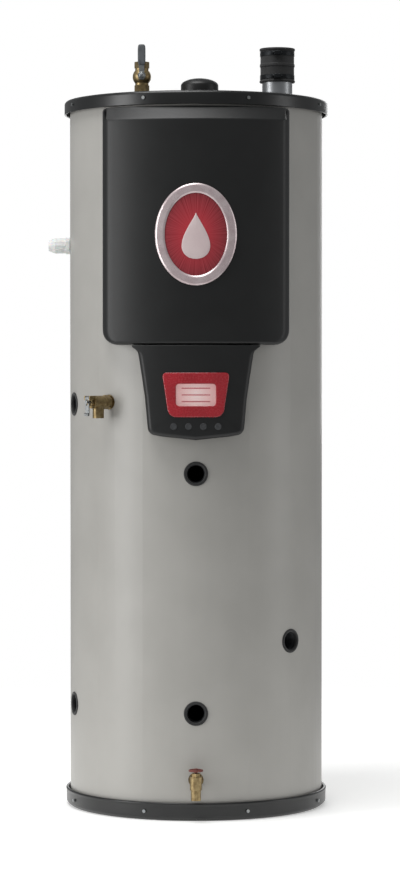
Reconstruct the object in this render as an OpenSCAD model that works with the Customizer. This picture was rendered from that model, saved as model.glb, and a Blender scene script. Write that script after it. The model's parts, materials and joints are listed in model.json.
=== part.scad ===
// Floor-standing condensing gas water heater with a storage tank.
// Origin: centre of the base on the floor. +Z up, front faces -Y. Millimetres.
// Bearings round the jacket are degrees from the front, positive towards +X.

/* [Jacket] */
// Outside diameter of the jacket
jacket_d = 711; // [708:1:714]
// Height from the floor to the top of the cap
total_h = 1980; // [1976:1:1990]
// Thickness of the jacket sheet
jacket_t = 1.5; // [1.2:0.1:1.8]
// Overhang of the cap beyond the jacket
cap_out = 15.5; // [13:0.5:18]
// Height of the cap's turned-down lip
cap_lip = 38; // [34:1:39]
// Overhang of the base pan beyond the jacket
base_out = 12.5; // [11:0.5:15]
// Height of the base pan
base_h = 50; // [44:1:52]

/* [Front cover] */
// Width of the cover
cover_w = 508; // [504:1:510]
// Height of the cover's lower edge above the floor
cover_z0 = 1293; // [1292:1:1296]
// Height of the cover's top edge above the floor
cover_z1 = 1938; // [1934:1:1938]
// Height of the sloping top of the cover
cover_slope = 37; // [30:1:40]
// Distance of the cover's face in front of the tank's axis
cover_face = 400; // [398:1:404]
// Radius of the cover's bow
bow_r = 480; // [476:1:490]
// Wall of the moulded cover and console
mould_t = 3; // [2.6:0.1:3.2]
// Width of the badge
badge_w = 221; // [200:1:230]
// Height of the badge
badge_h = 275; // [250:1:280]
// Height of the badge's centre above the floor
badge_z = 1589; // [1580:1:1600]
// Width of the badge's silver border
badge_rim_w = 26; // [20:1:30]

/* [Console] */
// Height of the console's lower edge above the floor
console_z0 = 1035; // [1032:1:1038]
// Width of the display bezel along its top
bezel_w = 186; // [180:1:190]
// Width of the display bezel along its foot
bezel_low_w = 150; // [146:1:156]
// Height of the display bezel
bezel_h = 120; // [114:1:122]
// Height of the display's centre above the floor
display_z = 1157; // [1155:1:1160]
// Radius of each key
key_r = 9; // [8:0.5:10]
// Inward travel of each key
key_travel = 2; // [1:0.5:3]

/* [Tank] */
// Outside diameter of the tank
tank_d = 644; // [640:1:646]
// Wall of the tank
tank_t = 4; // [3:0.5:5]
// Height of the tank's lower weld above the floor
tank_z0 = 82; // [80:1:84]
// Height of the tank's upper weld above the floor
tank_z1 = 1180; // [1178:1:1182]
// Depth of each dished head
dish_h = 60; // [56:1:62]
// Bore radius of the water ports
port_bore_r = 22.2; // [20:0.1:22.5]
// Bore radius of the two small tank sockets
small_bore_r = 12.2; // [12.2:0.05:12.4]

/* [Top fittings] */
// Gas cock, distance left of the tank's axis
gas_x = 153; // [150:1:155]
// Air intake hood, distance right of the tank's axis
intake_x = 10; // [5:1:15]
// Vent, distance right of the tank's axis
vent_x = 229; // [226:1:232]
// Outside radius of the vent pipe
vent_r = 42.6; // [42.2:0.1:42.8]
// Outside radius of the vent's rubber sleeve
sleeve_r = 48.5; // [47:0.5:49]

/* [Hidden] */
$fn = 96;
jr = jacket_d / 2;
ji = jr - jacket_t;
cap_r = jr + cap_out;
base_r = jr + base_out;
floor_t = 3;
cap_t = 2;
jacket_top = total_h - cap_t;
bow_c = bow_r - cover_face;
seat_r = jr + 0.4;

// water ports: bearing and height
PORTS = [[0, 943], [0, 292], [47, 480], [-73, 1130], [-73, 292]];
port_hole_r = 30.2;
grommet_r = 30;
grommet_bore_r = 25.2;
spud_r = 29;
spud_in = tank_d / 2 - 10;
spud_out = jr - 8;
tp_at = [-42, 1137];
drain_at = [0, 112];
small_spud_r = 19;
gland_at = [-90, 1576];
probe_at = [[25, 880], [25, 340]];
screw_z = base_h / 2;
screw_bearings = [for (i = [0 : 7]) 22.5 + 45 * i];
seam_screw_z = [for (i = [0 : 8]) 160 + 210 * i];

// tank
tr = tank_d / 2;
dish_r = (tr * tr + dish_h * dish_h) / (2 * dish_h);
top_apex = tank_z1 + dish_h;
bottom_apex = tank_z0 - dish_h;
deck_z = top_apex + 20;
deck_t = 2;
skirt_r = 253;

// service compartment
opening_w = 430;
opening_z0 = cover_z0 + 20;
opening_z1 = cover_z1 - 58;
stud_x = 228;
stud_z = [opening_z0 + 30, opening_z1 - 30];
stud_r = 4;

// Fine gaps that part the jacket into panels: bearings of the upright ones; bearing, bearing and height of the others
panel_gap = 0.04;
gap_reach = 600;
GAP_BEARINGS = [-72.7, -49, -24, 0, 24, 47, 71, 95, 119, 143, 167, 191, 215, 239, 263];
jacket_joint_z = 1250;
LEVEL_GAPS = [
    [-24, 24, PORTS[0][1]], [-24, 24, PORTS[1][1]], [24, 71, PORTS[2][1]], [-97, -49, PORTS[3][1] + 1],
    [-97, -49, PORTS[4][1] + 1], [-49, 47, opening_z0], [-49, 47, opening_z1]
];

// burner, heat exchanger and blower
hx = -30;
hy = 95;
hx_r = 120;
hx_z0 = 1420;
hx_z1 = 1690;
chamber_z = 1540;
vent_z = 1380;
vent_turn = atan2(-hy, vent_x - hx);
vent_gap = norm([vent_x - hx, hy]);
duct_r = 33;
door_z1 = hx_z1 + 14;
blower = [-95, 1845];
blower_r = 88;
blower_y = [62, 128];
gas_block_z = [1713, 1791];
gas_out_z = 1740;
pump = [-185, -90, 1400];
pipe_r = 11.1;
pipe_t = 1.2;
feed_z = 1560;
return_xy = [75, -60];
return_z = 1450;
box_x = [62, 208];
box_y = [-230, -155];
box_z = [1480, 1800];
drain_pipe_z = 1300;
spigot_r = 10.7;

// console keys
key_x = [-60, -20, 20, 60];
key_z = 1072;
window_w = 108;
window_h = 60;

// top fittings
cock_z = total_h + 72;
vent_top = total_h + 102;
sleeve_z = [total_h + 55, total_h + 151];
outlet_r = 45.2;

// Points on an arc, from angle a0 to a1 in n steps
function arc(x, y, r, a0, a1, n = 12) =
    [for (i = [0 : n]) [x + r * cos(a0 + (a1 - a0) * i / n), y + r * sin(a0 + (a1 - a0) * i / n)]];

// Point at a bearing and a distance from the axis; bearing 0 is the front and 90 the right
function at_bearing(b, r) = [r * sin(b), -r * cos(b)];

// Points on an upright oval
function oval(w, h, n = 72) = [for (i = [0 : n - 1]) [w / 2 * cos(360 * i / n), h / 2 * sin(360 * i / n)]];

// Points on an upright outline that narrows downwards, with round corners; lean is the slope of its sides
function taper(w_top, w_low, h, r_top, r_low) = let (
    lean = atan((w_top - w_low) / 2 / h),
    x_top = w_top / 2 - r_top * tan(lean) - r_top / cos(lean),
    x_low = w_low / 2 + r_low * tan(lean) - r_low / cos(lean))
    concat(
        arc(x_top, h / 2 - r_top, r_top, 90, -lean),
        arc(x_low, r_low - h / 2, r_low, -lean, -90),
        arc(-x_low, r_low - h / 2, r_low, -90, lean - 180),
        arc(-x_top, h / 2 - r_top, r_top, lean - 180, -270));

// Front of the bowed face at distance x from the middle
function face_at(x) = bow_c - sqrt(bow_r * bow_r - x * x);

// Height of the tank's upper head at distance r from the axis
function head_z(r) = top_apex - dish_r + sqrt(dish_r * dish_r - r * r);

// Places children on the jacket: local +X points outwards and X is the distance from the axis
module around(bearing, z) rotate([0, 0, bearing - 90]) translate([0, 0, z]) children();

// Round bar along local +X
module bar(x0, x1, r) translate([x0, 0, 0]) rotate([0, 90, 0]) cylinder(r = r, h = x1 - x0);

// Tube along local +X
module bar_tube(x0, x1, ro, ri) difference() {
    bar(x0, x1, ro);
    bar(x0 - 1, x1 + 1, ri);
}

// Upright round bar
module post(x, y, z0, z1, r) translate([x, y, z0]) cylinder(r = r, h = z1 - z0);

// Upright tube
module post_tube(x, y, z0, z1, ro, ri) difference() {
    post(x, y, z0, z1, ro);
    post(x, y, z0 - 1, z1 + 1, ri);
}

// Round bar along +Y
module beam(x, z, y0, y1, r) translate([x, y0, z]) rotate([-90, 0, 0]) cylinder(r = r, h = y1 - y0);

// Box between two corners
module slab(a, b) translate(a) cube(b - a);

// Rectangle with round corners
module round_rect(w, h, r) {
    square([w - 2 * r, h], center = true);
    square([w, h - 2 * r], center = true);
    for (sx = [-1, 1], sz = [-1, 1]) translate([sx * (w / 2 - r), sz * (h / 2 - r)]) circle(r = r);
}

// Carries an outline drawn in X and Z from y0 back to y1
module carry(y0, y1) translate([0, y1, 0]) rotate([90, 0, 0]) linear_extrude(height = y1 - y0) children();

// Everything between two radii from the bow's axis
module bow_shell(r0, r1, z0, z1) post_tube(0, bow_c, z0, z1, r1, r0, $fn = 180);

// ---- jacket, base and cap ----

module base_pan() color("#222324") difference() {
    rotate_extrude($fn = 180) polygon(concat(
        [[0, 0], [base_r - 16, 0], [base_r - 5, 3], [base_r - 1.5, 11]],
        arc(base_r - 4.5, base_h - 4.5, 4.5, 0, 180),
        [[base_r - 4.5, base_h - 12], [base_r - 6, 13], [base_r - 10, floor_t], [0, floor_t]]));
    for (a = screw_bearings) around(a, screw_z) bar(jr, base_r + 5, 2.3);
}

module port_cuts(r, x0, x1) for (p = PORTS) around(p[0], p[1]) bar(x0, x1, r);

module service_opening() translate([0, 0, (opening_z0 + opening_z1) / 2]) carry(-jr - 10, -100)
    round_rect(opening_w, opening_z1 - opening_z0, 30);

module panel_gaps() {
    for (b = GAP_BEARINGS) around(b, 0)
        slab([ji - 5, -panel_gap / 2, 0], [jr + 5, panel_gap / 2, total_h]);
    for (g = LEVEL_GAPS) translate([0, 0, g[2] - panel_gap / 2])
        linear_extrude(panel_gap) polygon([[0, 0], at_bearing(g[0], gap_reach), at_bearing(g[1], gap_reach)]);
    post(0, 0, jacket_joint_z, jacket_joint_z + panel_gap, jr + 5);
}

module jacket() color("#a9a7a3") difference() {
    union() {
        post_tube(0, 0, floor_t, jacket_top, jr, ji, $fn = 180);
        intersection() {
            post_tube(0, 0, base_h + 6, jacket_top - cap_lip - 6, jr + 1, jr - 0.5, $fn = 180);
            slab([-13, 0, 0], [13, jr + 5, total_h]);
        }
    }
    panel_gaps();
    service_opening();
    port_cuts(port_hole_r, ji - 20, jr + 20);
    around(tp_at[0], tp_at[1]) bar(ji - 20, jr + 20, small_spud_r + 1.5);
    around(drain_at[0], drain_at[1]) bar(ji - 20, jr + 20, small_spud_r + 1.5);
    around(gland_at[0], gland_at[1]) bar(ji - 20, jr + 20, 16.5);
    around(0, display_z) bar(ji - 20, jr + 20, 18);
    beam(hx, drain_pipe_z, jr - 40, jr + 20, 11.5);
    for (sx = [-1, 1], z = stud_z) beam(sx * stud_x, z, -jr, -200, 9.2);
    for (a = screw_bearings) around(a, screw_z) bar(ji - 5, jr + 5, 1.9);
    for (a = screw_bearings) around(a, total_h - cap_lip / 2) bar(ji - 5, jr + 5, 1.9);
    for (z = seam_screw_z) around(180, z) bar(ji - 5, jr + 5, 1.9);
}

module top_cap() color("#2b2c2d") difference() {
    rotate_extrude($fn = 180) polygon(concat(
        [[0, jacket_top], [0, total_h]],
        arc(cap_r - 8, total_h - 8, 8, 90, 0),
        arc(cap_r - 4, total_h - cap_lip + 4, 4, 0, -180),
        [[cap_r - 4, total_h - cap_lip + 9], [cap_r - 4, total_h - 9], [cap_r - 9, jacket_top]]));
    post(-gas_x, 0, jacket_top - 5, total_h + 5, 15);
    post(intake_x, 0, jacket_top - 5, total_h + 5, 43);
    post(vent_x, 0, jacket_top - 5, total_h + 5, vent_r + 1.6);
    for (a = screw_bearings) around(a, total_h - cap_lip / 2) bar(jr + 2, cap_r + 5, 2.3);
}

// Hex-headed self-tapping screw along local +X, its head's underside at x
module screw(x, grip) {
    bar(x, x + 3, 5, $fn = 6);
    bar(x - grip, x + 0.1, 1.8);
}

module jacket_screws() color("#8d8f92") {
    for (a = screw_bearings) around(a, screw_z) screw(base_r + 0.1, base_out + 5);
    for (a = screw_bearings) around(a, total_h - cap_lip / 2) screw(cap_r + 0.1, cap_out + 5);
    for (z = seam_screw_z) around(180, z) screw(jr + 1.2, 2.6);
}

// ---- front cover ----

// Cover block, every face moved inwards by t
module cover_block(t) intersection() {
    translate([0, bow_c, 0]) rotate_extrude($fn = 180) polygon([
        [200, cover_z0 + t], [bow_r - t, cover_z0 + t], [bow_r - t, cover_z1 - cover_slope - t * 0.4],
        [bow_r - cover_slope - t * 0.4, cover_z1 - t], [200, cover_z1 - t]]);
    linear_extrude(height = total_h) polygon([
        [-cover_w / 2 + t, -200], [-cover_w / 2 + t, -316], [-cover_w / 2 + 20 + t, -341 + t / 2],
        [-200, -440], [200, -440],
        [cover_w / 2 - 20 - t, -341 + t / 2], [cover_w / 2 - t, -316], [cover_w / 2 - t, -200]]);
    translate([0, 0, (cover_z0 + cover_z1 + 80) / 2]) carry(-440, -200)
        round_rect(cover_w - 2 * t, cover_z1 - cover_z0 + 80 - 2 * t, 40 - t);
    slab([-cover_w, -440, cover_z0], [cover_w, -240, cover_z1 + 50]);
}

module front_cover() color("#26282a") {
    difference() {
        cover_block(0);
        cover_block(mould_t);
        post(0, 0, 0, total_h, seat_r, $fn = 180);
    }
    intersection() {
        cover_block(1);
        for (sx = [-1, 1], z = stud_z) beam(sx * stud_x, z, -360, -328, 9);
    }
}

module badge_rim() color("#c9c3c4") intersection() {
    bow_shell(bow_r + 0.1, bow_r + 6, 1000, total_h);
    translate([0, 0, badge_z]) carry(-cover_face - 20, -300) difference() {
        polygon(oval(badge_w, badge_h));
        polygon(oval(badge_w - 2 * badge_rim_w, badge_h - 2 * badge_rim_w));
    }
}

module badge_field() color("#b3232f") intersection() {
    bow_shell(bow_r + 0.1, bow_r + 3.5, 1000, total_h);
    translate([0, 0, badge_z]) carry(-cover_face - 20, -300)
        polygon(oval(badge_w - 2 * badge_rim_w - 0.6, badge_h - 2 * badge_rim_w - 0.6));
}

module cover_studs() color("#8d8f92") for (sx = [-1, 1], z = stud_z) {
    beam(sx * stud_x, z, -327.9, -324, 7);
    beam(sx * stud_x, z, -325, -256, stud_r);
}

module stud_clips() color("#3a3a3a") for (sx = [-1, 1], z = stud_z) difference() {
    union() {
        beam(sx * stud_x, z, -280, -254, 9);
        beam(sx * stud_x, z, -259, -254, 12);
    }
    beam(sx * stud_x, z, -290, -250, stud_r + 0.08);
}

// ---- console ----

function console_side() = concat(
    arc(190, cover_z0 - 30, 28, 90, 180, 8),
    [[146, 1205], [138, 1150]],
    arc(101, console_z0 + 42, 30, 5, -72, 8),
    [for (i = [5 : -1 : 0]) [18 * i, console_z0 + 13 * pow(i / 6, 2)]]);

module console_outline() {
    side = console_side();
    n = len(side);
    polygon(concat(side, [for (i = [n - 2 : -1 : 0]) [-side[i][0], side[i][1]]]));
}

module console_block(t) intersection() {
    bow_shell(100, bow_r - t, console_z0 - 10, cover_z0 - 2 - t);
    carry(-440, -280) offset(delta = -t) console_outline();
}

// Outline of the display bezel, moved inwards by t
module bezel_outline(t) polygon(taper(bezel_w - 2 * t, bezel_low_w - 2 * t, bezel_h - 2 * t, 10 - t / 2, 24 - t));

module console_housing() color("#242628") difference() {
    intersection() {
        bow_shell(100, bow_r, console_z0 - 10, cover_z0 - 2);
        carry(-440, -280) console_outline();
    }
    console_block(mould_t);
    post(0, 0, 0, total_h, seat_r, $fn = 180);
    translate([0, 0, display_z]) carry(-440, -380) bezel_outline(3);
    for (x = key_x) beam(x, key_z, -440, -380, key_r + 0.35);
}

module display_bezel() color("#b8242f") difference() {
    union() {
        intersection() {
            bow_shell(bow_r + 0.1, bow_r + 4, 1000, total_h);
            translate([0, 0, display_z]) carry(-440, -380) bezel_outline(0);
        }
        intersection() {
            bow_shell(bow_r - 6, bow_r + 0.2, 1000, total_h);
            translate([0, 0, display_z]) carry(-440, -375) bezel_outline(3.4);
        }
    }
    translate([0, 0, display_z]) carry(-440, -370) round_rect(window_w, window_h, 8);
}

module display_window() color("#d9b7b7") intersection() {
    bow_shell(bow_r - 4, bow_r + 2, 1000, total_h);
    translate([0, 0, display_z]) carry(-440, -370) round_rect(window_w - 0.8, window_h - 0.8, 7.6);
}

module display_board() color("#1f5a3a") {
    slab([-78, -372, display_z - 48], [78, -370.4, display_z + 48]);
    slab([-50, -384, display_z - 26], [50, -371.9, display_z + 26]);
    for (x = [-70, 70]) slab([x - 5, -376, display_z - 20], [x + 5, -371.9, display_z + 20]);
}

module key(i) color("#3b3d40") {
    beam(key_x[i], key_z, face_at(key_x[i]) - key_travel - 0.5, face_at(key_x[i]) + 12, key_r);
    beam(key_x[i], key_z, face_at(key_x[i]) + 5.2, face_at(key_x[i]) + 7.7, key_r + 2);
}

module key_menu() key(0);
module key_down() key(1);
module key_up() key(2);
module key_enter() key(3);

// ---- water ports ----

module port_grommets() color("#141414") for (p = PORTS) around(p[0], p[1]) difference() {
    union() {
        bar(jr - 6.5, jr + 3.5, grommet_r);
        bar(jr + 0.3, jr + 3.5, grommet_r + 3.5);
    }
    bar(jr - 20, jr + 20, grommet_bore_r);
}

module tank_spuds() color("#6d6f72") for (p = PORTS) around(p[0], p[1])
    bar_tube(spud_in, spud_out, spud_r, port_bore_r);

module small_spuds() color("#6d6f72") for (p = [tp_at, drain_at]) around(p[0], p[1])
    bar_tube(spud_in, jr - 3, small_spud_r, small_bore_r);

// ---- relief valve ----

module tp_body() color("#b08d3f") around(tp_at[0], tp_at[1]) {
    difference() {
        union() {
            bar(spud_in + 2, 362, small_bore_r - 0.1);
            bar(361, 376, 19.5, $fn = 6);
            bar(375, 424, 17.5);
            bar(423, 430, 11);
            translate([398, 0, -44]) cylinder(r = 15.5, h = 44);
            for (sy = [-1, 1]) slab([418, sy * 9.5 - 1.5, 5], [442, sy * 9.5 + 1.5, 17]);
        }
        translate([398, 0, -45]) cylinder(r = 10.6, h = 25);
        translate([398, 0, -21]) cylinder(r = 8.5, h = 21);
        bar(spud_in, 398, 8);
        bar(397, 432, 3.06);
    }
    translate([437, -9, 12]) rotate([-90, 0, 0]) cylinder(r = 2, h = 18);
}

module tp_stem() color("#9a9c9e") around(tp_at[0], tp_at[1]) {
    bar(386, 389, 7);
    bar(388, 445, 3);
    bar(444, 447, 5);
}

module tp_lever() color("#a9abad") around(tp_at[0], tp_at[1]) difference() {
    union() {
        translate([437, -7, 12]) rotate([-90, 0, 0]) cylinder(r = 4.5, h = 14);
        slab([439.5, -7, -34], [442.5, 7, 12]);
        translate([443.5, -7, -34]) rotate([-90, 0, 0]) cylinder(r = 4, h = 14);
    }
    translate([437, -20, 12]) rotate([-90, 0, 0]) cylinder(r = 2.06, h = 40);
    slab([438, -3.9, -9], [445, 3.9, 7]);
}

// ---- drain valve ----

module drain_body() color("#9c7f45") around(drain_at[0], drain_at[1]) difference() {
    union() {
        bar(spud_in + 2, 362, small_bore_r - 0.1);
        bar(361, 372, 17, $fn = 6);
        bar(371, 390, 12);
        translate([396, 0, -22]) cylinder(r = 16, h = 36);
        translate([396, 0, -50]) cylinder(r = 13.4, h = 30);
        translate([396, 0, 13]) cylinder(r = 12, h = 10, $fn = 6);
    }
    translate([396, 0, -51]) cylinder(r = 9.5, h = 43);
    translate([396, 0, -9]) cylinder(r = 6, h = 10);
    translate([396, 0, -5]) cylinder(r = 11, h = 14);
    bar(spud_in, 396, 5.8);
    translate([396, 0, 8]) cylinder(r = 3.56, h = 20);
}

module drain_washer() color("#1c1c1c") around(drain_at[0], drain_at[1])
    translate([396, 0, -4.9]) cylinder(r = 9, h = 3);

module drain_handwheel() color("#7b3a34") around(drain_at[0], drain_at[1]) translate([396, 0, 0]) {
    translate([0, 0, -1.8]) cylinder(r = 3.5, h = 36);
    translate([0, 0, 27]) cylinder(r = 6.5, h = 9);
    translate([0, 0, 31]) rotate_extrude() translate([17, 0]) circle(r = 2.8, $fn = 24);
    for (a = [0 : 90 : 270]) rotate([0, 0, a]) slab([5, -2, 29], [17, 2, 33]);
}

// ---- gas cock and gas line ----

module gas_cock_body() color("#a98e55") translate([-gas_x, 0, cock_z]) difference() {
    union() {
        translate([0, 0, -42]) cylinder(r = 21, h = 18, $fn = 6);
        translate([0, 0, 24]) cylinder(r = 21, h = 18, $fn = 6);
        translate([0, 0, -25]) cylinder(r = 19, h = 50);
        sphere(r = 26);
        translate([0, 1, 0]) rotate([90, 0, 0]) cylinder(r = 10, h = 34);
    }
    sphere(r = 17.3);
    translate([0, 0, -50]) cylinder(r = 13.5, h = 20);
    translate([0, 0, 24]) cylinder(r = 12.4, h = 20);
    translate([0, 0, -50]) cylinder(r = 9, h = 100);
    rotate([90, 0, 0]) cylinder(r = 5.06, h = 40);
}

module gas_cock_ball() color("#c9cacc") translate([-gas_x, 0, cock_z]) difference() {
    union() {
        sphere(r = 17);
        rotate([90, 0, 0]) cylinder(r = 5, h = 42);
    }
    translate([0, 0, -50]) cylinder(r = 9, h = 100);
}

module gas_cock_handle() color("#55585c") translate([-gas_x, 0, cock_z]) difference() {
    union() {
        slab([-8, -38, -8], [8, -34.5, 62]);
        translate([0, -34.5, 0]) rotate([90, 0, 0]) cylinder(r = 11, h = 3.5);
        slab([-10, -41, 40], [10, -32, 88]);
        translate([0, -42, 0]) rotate([90, 0, 0]) cylinder(r = 8, h = 5, $fn = 6);
    }
    translate([0, -30, 0]) rotate([90, 0, 0]) cylinder(r = 5.02, h = 12.1);
}

module gas_pipe() color("#2e2f30") post_tube(-gas_x, 0, gas_block_z[1], cock_z - 31, 13.4, 10.4);

// ---- air intake and vent ----

module intake_hood() color("#202122") translate([intake_x, 0, total_h]) {
    difference() {
        union() {
            translate([0, 0, -40]) cylinder(r = 42, h = 72);
            cylinder(r = 56, h = 3);
        }
        translate([0, 0, -41]) cylinder(r = 39, h = 80);
    }
    difference() {
        intersection() {
            translate([0, 0, 26]) cylinder(r = 53, h = 60);
            translate([0, 0, -19]) sphere(r = 87);
        }
        intersection() {
            translate([0, 0, 20]) cylinder(r = 50, h = 60);
            translate([0, 0, -19]) sphere(r = 84);
        }
    }
    for (a = [0 : 60 : 300]) rotate([0, 0, a]) slab([40.5, -1.5, 3], [51, 1.5, 44]);
}

module vent_pipe() color("#8b8d8f") difference() {
    post(vent_x, 0, vent_z - 50, vent_top, vent_r);
    post(vent_x, 0, vent_z - 46, vent_top + 1, vent_r - 3);
    translate([hx, hy, vent_z]) rotate([0, 0, vent_turn]) bar(hx_r, vent_gap, duct_r - 3);
}

module vent_sleeve() color("#121212") difference() {
    union() {
        post(vent_x, 0, sleeve_z[0], sleeve_z[1], sleeve_r);
        for (z = [sleeve_z[0], sleeve_z[1] - 5]) post(vent_x, 0, z, z + 5, sleeve_r + 1.5);
    }
    post(vent_x, 0, sleeve_z[0] - 1, sleeve_z[1] + 1, vent_r + 0.1);
    post(vent_x, 0, vent_top, sleeve_z[1] + 1, outlet_r);
}

module vent_clamps() color("#a5a7aa") for (z = [sleeve_z[0] + 9, sleeve_z[1] - 22]) {
    post_tube(vent_x, 0, z, z + 12, sleeve_r + 1.2, sleeve_r + 0.1);
    translate([vent_x, -sleeve_r - 6, z + 6]) rotate([0, 90, 0]) translate([0, 0, -11]) cylinder(r = 5, h = 22);
}

// ---- power entry and condensate outlet ----

module power_gland() color("#d7d9da") around(gland_at[0], gland_at[1]) difference() {
    union() {
        bar(jr - 12, jr + 2, 16);
        bar(jr + 0.5, jr + 14, 24, $fn = 6);
        bar(jr + 13, jr + 42, 21.5);
        translate([jr + 42, 0, 0]) rotate([0, 90, 0]) cylinder(r1 = 21.5, r2 = 15, h = 19);
        bar(jr - 11, jr - 4, 22, $fn = 6);
    }
    bar(jr - 20, jr + 70, 9);
}

module condensate_pipe() color("#ecebe6") difference() {
    union() {
        post(hx, hy, drain_pipe_z, 1342, 10.6);
        beam(hx, drain_pipe_z, hy - 14, jr + 38, spigot_r);
        beam(hx, drain_pipe_z, jr + 0.5, jr + 4, spigot_r + 6);
    }
    post(hx, hy, drain_pipe_z, 1343, 8);
    beam(hx, drain_pipe_z, hy - 11, jr + 39, 7.8);
}

// ---- tank ----

module dish(t) difference() {
    intersection() {
        translate([0, 0, dish_h - dish_r]) sphere(r = dish_r, $fn = 180);
        cylinder(r = tr, h = dish_h + 1, $fn = 180);
    }
    translate([0, 0, dish_h - dish_r]) sphere(r = dish_r - t, $fn = 180);
}

module tank_shell() color("#9b9da0") difference() {
    post_tube(0, 0, tank_z0, tank_z1, tr, tr - tank_t, $fn = 180);
    port_cuts(spud_r + 0.1, tr - 40, jr);
    for (p = [tp_at, drain_at]) around(p[0], p[1]) bar(tr - 40, jr, small_spud_r + 0.1);
    for (p = probe_at) around(p[0], p[1]) bar(tr - 40, jr, 5.1);
}

module tank_head_top() color("#9b9da0") difference() {
    translate([0, 0, tank_z1]) dish(tank_t);
    post(pump[0], pump[1], tank_z1 - 20, top_apex + 10, pipe_r + 0.1);
    post(return_xy[0], return_xy[1], tank_z1 - 20, top_apex + 10, pipe_r + 0.1);
    post(-150, 150, tank_z1 - 20, top_apex + 10, 12.1);
}

module tank_head_bottom() color("#9b9da0") translate([0, 0, tank_z0]) mirror([0, 0, 1]) dish(tank_t);

module tank_skirt() color("#3a3b3c") difference() {
    post_tube(0, 0, floor_t, tank_z0, skirt_r + 4, skirt_r, $fn = 180);
    translate([0, 0, bottom_apex + dish_r]) sphere(r = dish_r + 0.1, $fn = 180);
}

module insulation() color("#d9c88c") difference() {
    post(0, 0, 60, deck_z - 0.3, ji - 0.3, $fn = 180);
    post(0, 0, 59, tank_z1, tr + 0.2, $fn = 180);
    intersection() {
        translate([0, 0, top_apex - dish_r]) sphere(r = dish_r + 0.2, $fn = 180);
        post(0, 0, tank_z1 - 1, top_apex + 5, tr + 0.2, $fn = 180);
    }
    port_cuts(grommet_r + 1, tr - 40, jr);
    for (p = [tp_at, drain_at]) around(p[0], p[1]) bar(tr - 40, jr, small_spud_r + 1);
    for (p = probe_at) around(p[0], p[1]) bar(tr - 40, jr, 13);
    post(pump[0], pump[1], tank_z1, deck_z + 5, pipe_r + 0.4);
    post(return_xy[0], return_xy[1], tank_z1, deck_z + 5, pipe_r + 0.4);
    post(-150, 150, tank_z1, deck_z + 5, 20);
}

module anode_rod() color("#b9bbbd") {
    post(-150, 150, 520, head_z(212) + 6, 12);
    post(-150, 150, head_z(200) + 1, head_z(200) + 15, 18, $fn = 6);
}

module inlet_diffuser() color("#e4e2dc") around(PORTS[4][0], PORTS[4][1]) difference() {
    bar(150, spud_in - 0.2, 20);
    bar(153, spud_in + 1, 17.5);
    for (x = [165 : 20 : 285]) slab([x, -30, -24], [x + 8, 30, -12]);
}

module temperature_probes() color("#b9bbbd") for (p = probe_at) around(p[0], p[1]) {
    bar(tr - 90, tr + 12, 5);
    bar(tr + 0.5, tr + 12, 11, $fn = 6);
}

// ---- service compartment ----

module deck_plate() color("#7f8183") difference() {
    post(0, 0, deck_z, deck_z + deck_t, ji - 0.3, $fn = 180);
    post(pump[0], pump[1], deck_z - 5, deck_z + 5, pipe_r + 0.4);
    post(return_xy[0], return_xy[1], deck_z - 5, deck_z + 5, pipe_r + 0.4);
}

module heat_exchanger() color("#b4b6b8") translate([hx, hy, 0]) difference() {
    union() {
        post_tube(0, 0, hx_z0, hx_z1 - 10, hx_r, hx_r - 4);
        post_tube(0, 0, chamber_z - 4, hx_z1 - 10, hx_r - 12, hx_r - 15);
        post_tube(0, 0, hx_z1 - 10, hx_z1, hx_r + 15, hx_r - 15);
        post(0, 0, chamber_z - 4, chamber_z, hx_r - 12);
        post(0, 0, hx_z0, hx_z0 + 4, hx_r - 2);
        for (a = [0 : 30 : 330], r = [55, 88]) post(r * cos(a), r * sin(a), hx_z0, chamber_z, 8);
    }
    for (a = [0 : 30 : 330], r = [55, 88]) post(r * cos(a), r * sin(a), hx_z0 - 1, chamber_z + 1, 6.5);
}

module flue_collector() color("#2c2d2e") difference() {
    union() {
        post(hx, hy, 1342, hx_z0 - 0.2, hx_r - 2);
        translate([hx, hy, vent_z]) rotate([0, 0, vent_turn]) bar(hx_r - 20, vent_gap, duct_r);
        for (a = [30, 150, 270])
            post(hx + 85 * cos(a), hy + 85 * sin(a), deck_z + deck_t, 1345, 8);
    }
    post(hx, hy, 1346, hx_z0 + 1, hx_r - 5);
    translate([hx, hy, vent_z]) rotate([0, 0, vent_turn]) bar(0, vent_gap, duct_r - 3);
    post(vent_x, 0, vent_z - 60, vent_z + 60, vent_r + 0.1);
    post(hx, hy, 1340, 1350, 8);
}

module burner_door() color("#a2a4a6") difference() {
    union() {
        post(hx, hy, hx_z1 + 0.1, door_z1, hx_r + 12);
        for (a = [15 : 60 : 315]) post(hx + 122 * cos(a), hy + 122 * sin(a), door_z1 - 1, door_z1 + 6, 6.5, $fn = 6);
    }
    post(hx, hy, hx_z1 - 1, door_z1 + 1, 27);
    for (a = [-60, -120]) post(hx + 80 * cos(a), hy + 80 * sin(a), hx_z1 - 1, door_z1 + 1, 5.3);
}

module burner_tube() color("#9a8f86") difference() {
    union() {
        post(hx, hy, hx_z1 - 3, hx_z1, 50);
        post(hx, hy, 1575, hx_z1 - 2, 40);
    }
    post(hx, hy, 1577, hx_z1 + 1, 38.6);
}

module electrodes() color("#e9e6df") for (a = [-60, -120]) {
    post(hx + 80 * cos(a), hy + 80 * sin(a), 1655, door_z1 + 26, 5.2);
    post(hx + 80 * cos(a), hy + 80 * sin(a), 1615, 1656, 1.5);
}

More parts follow.
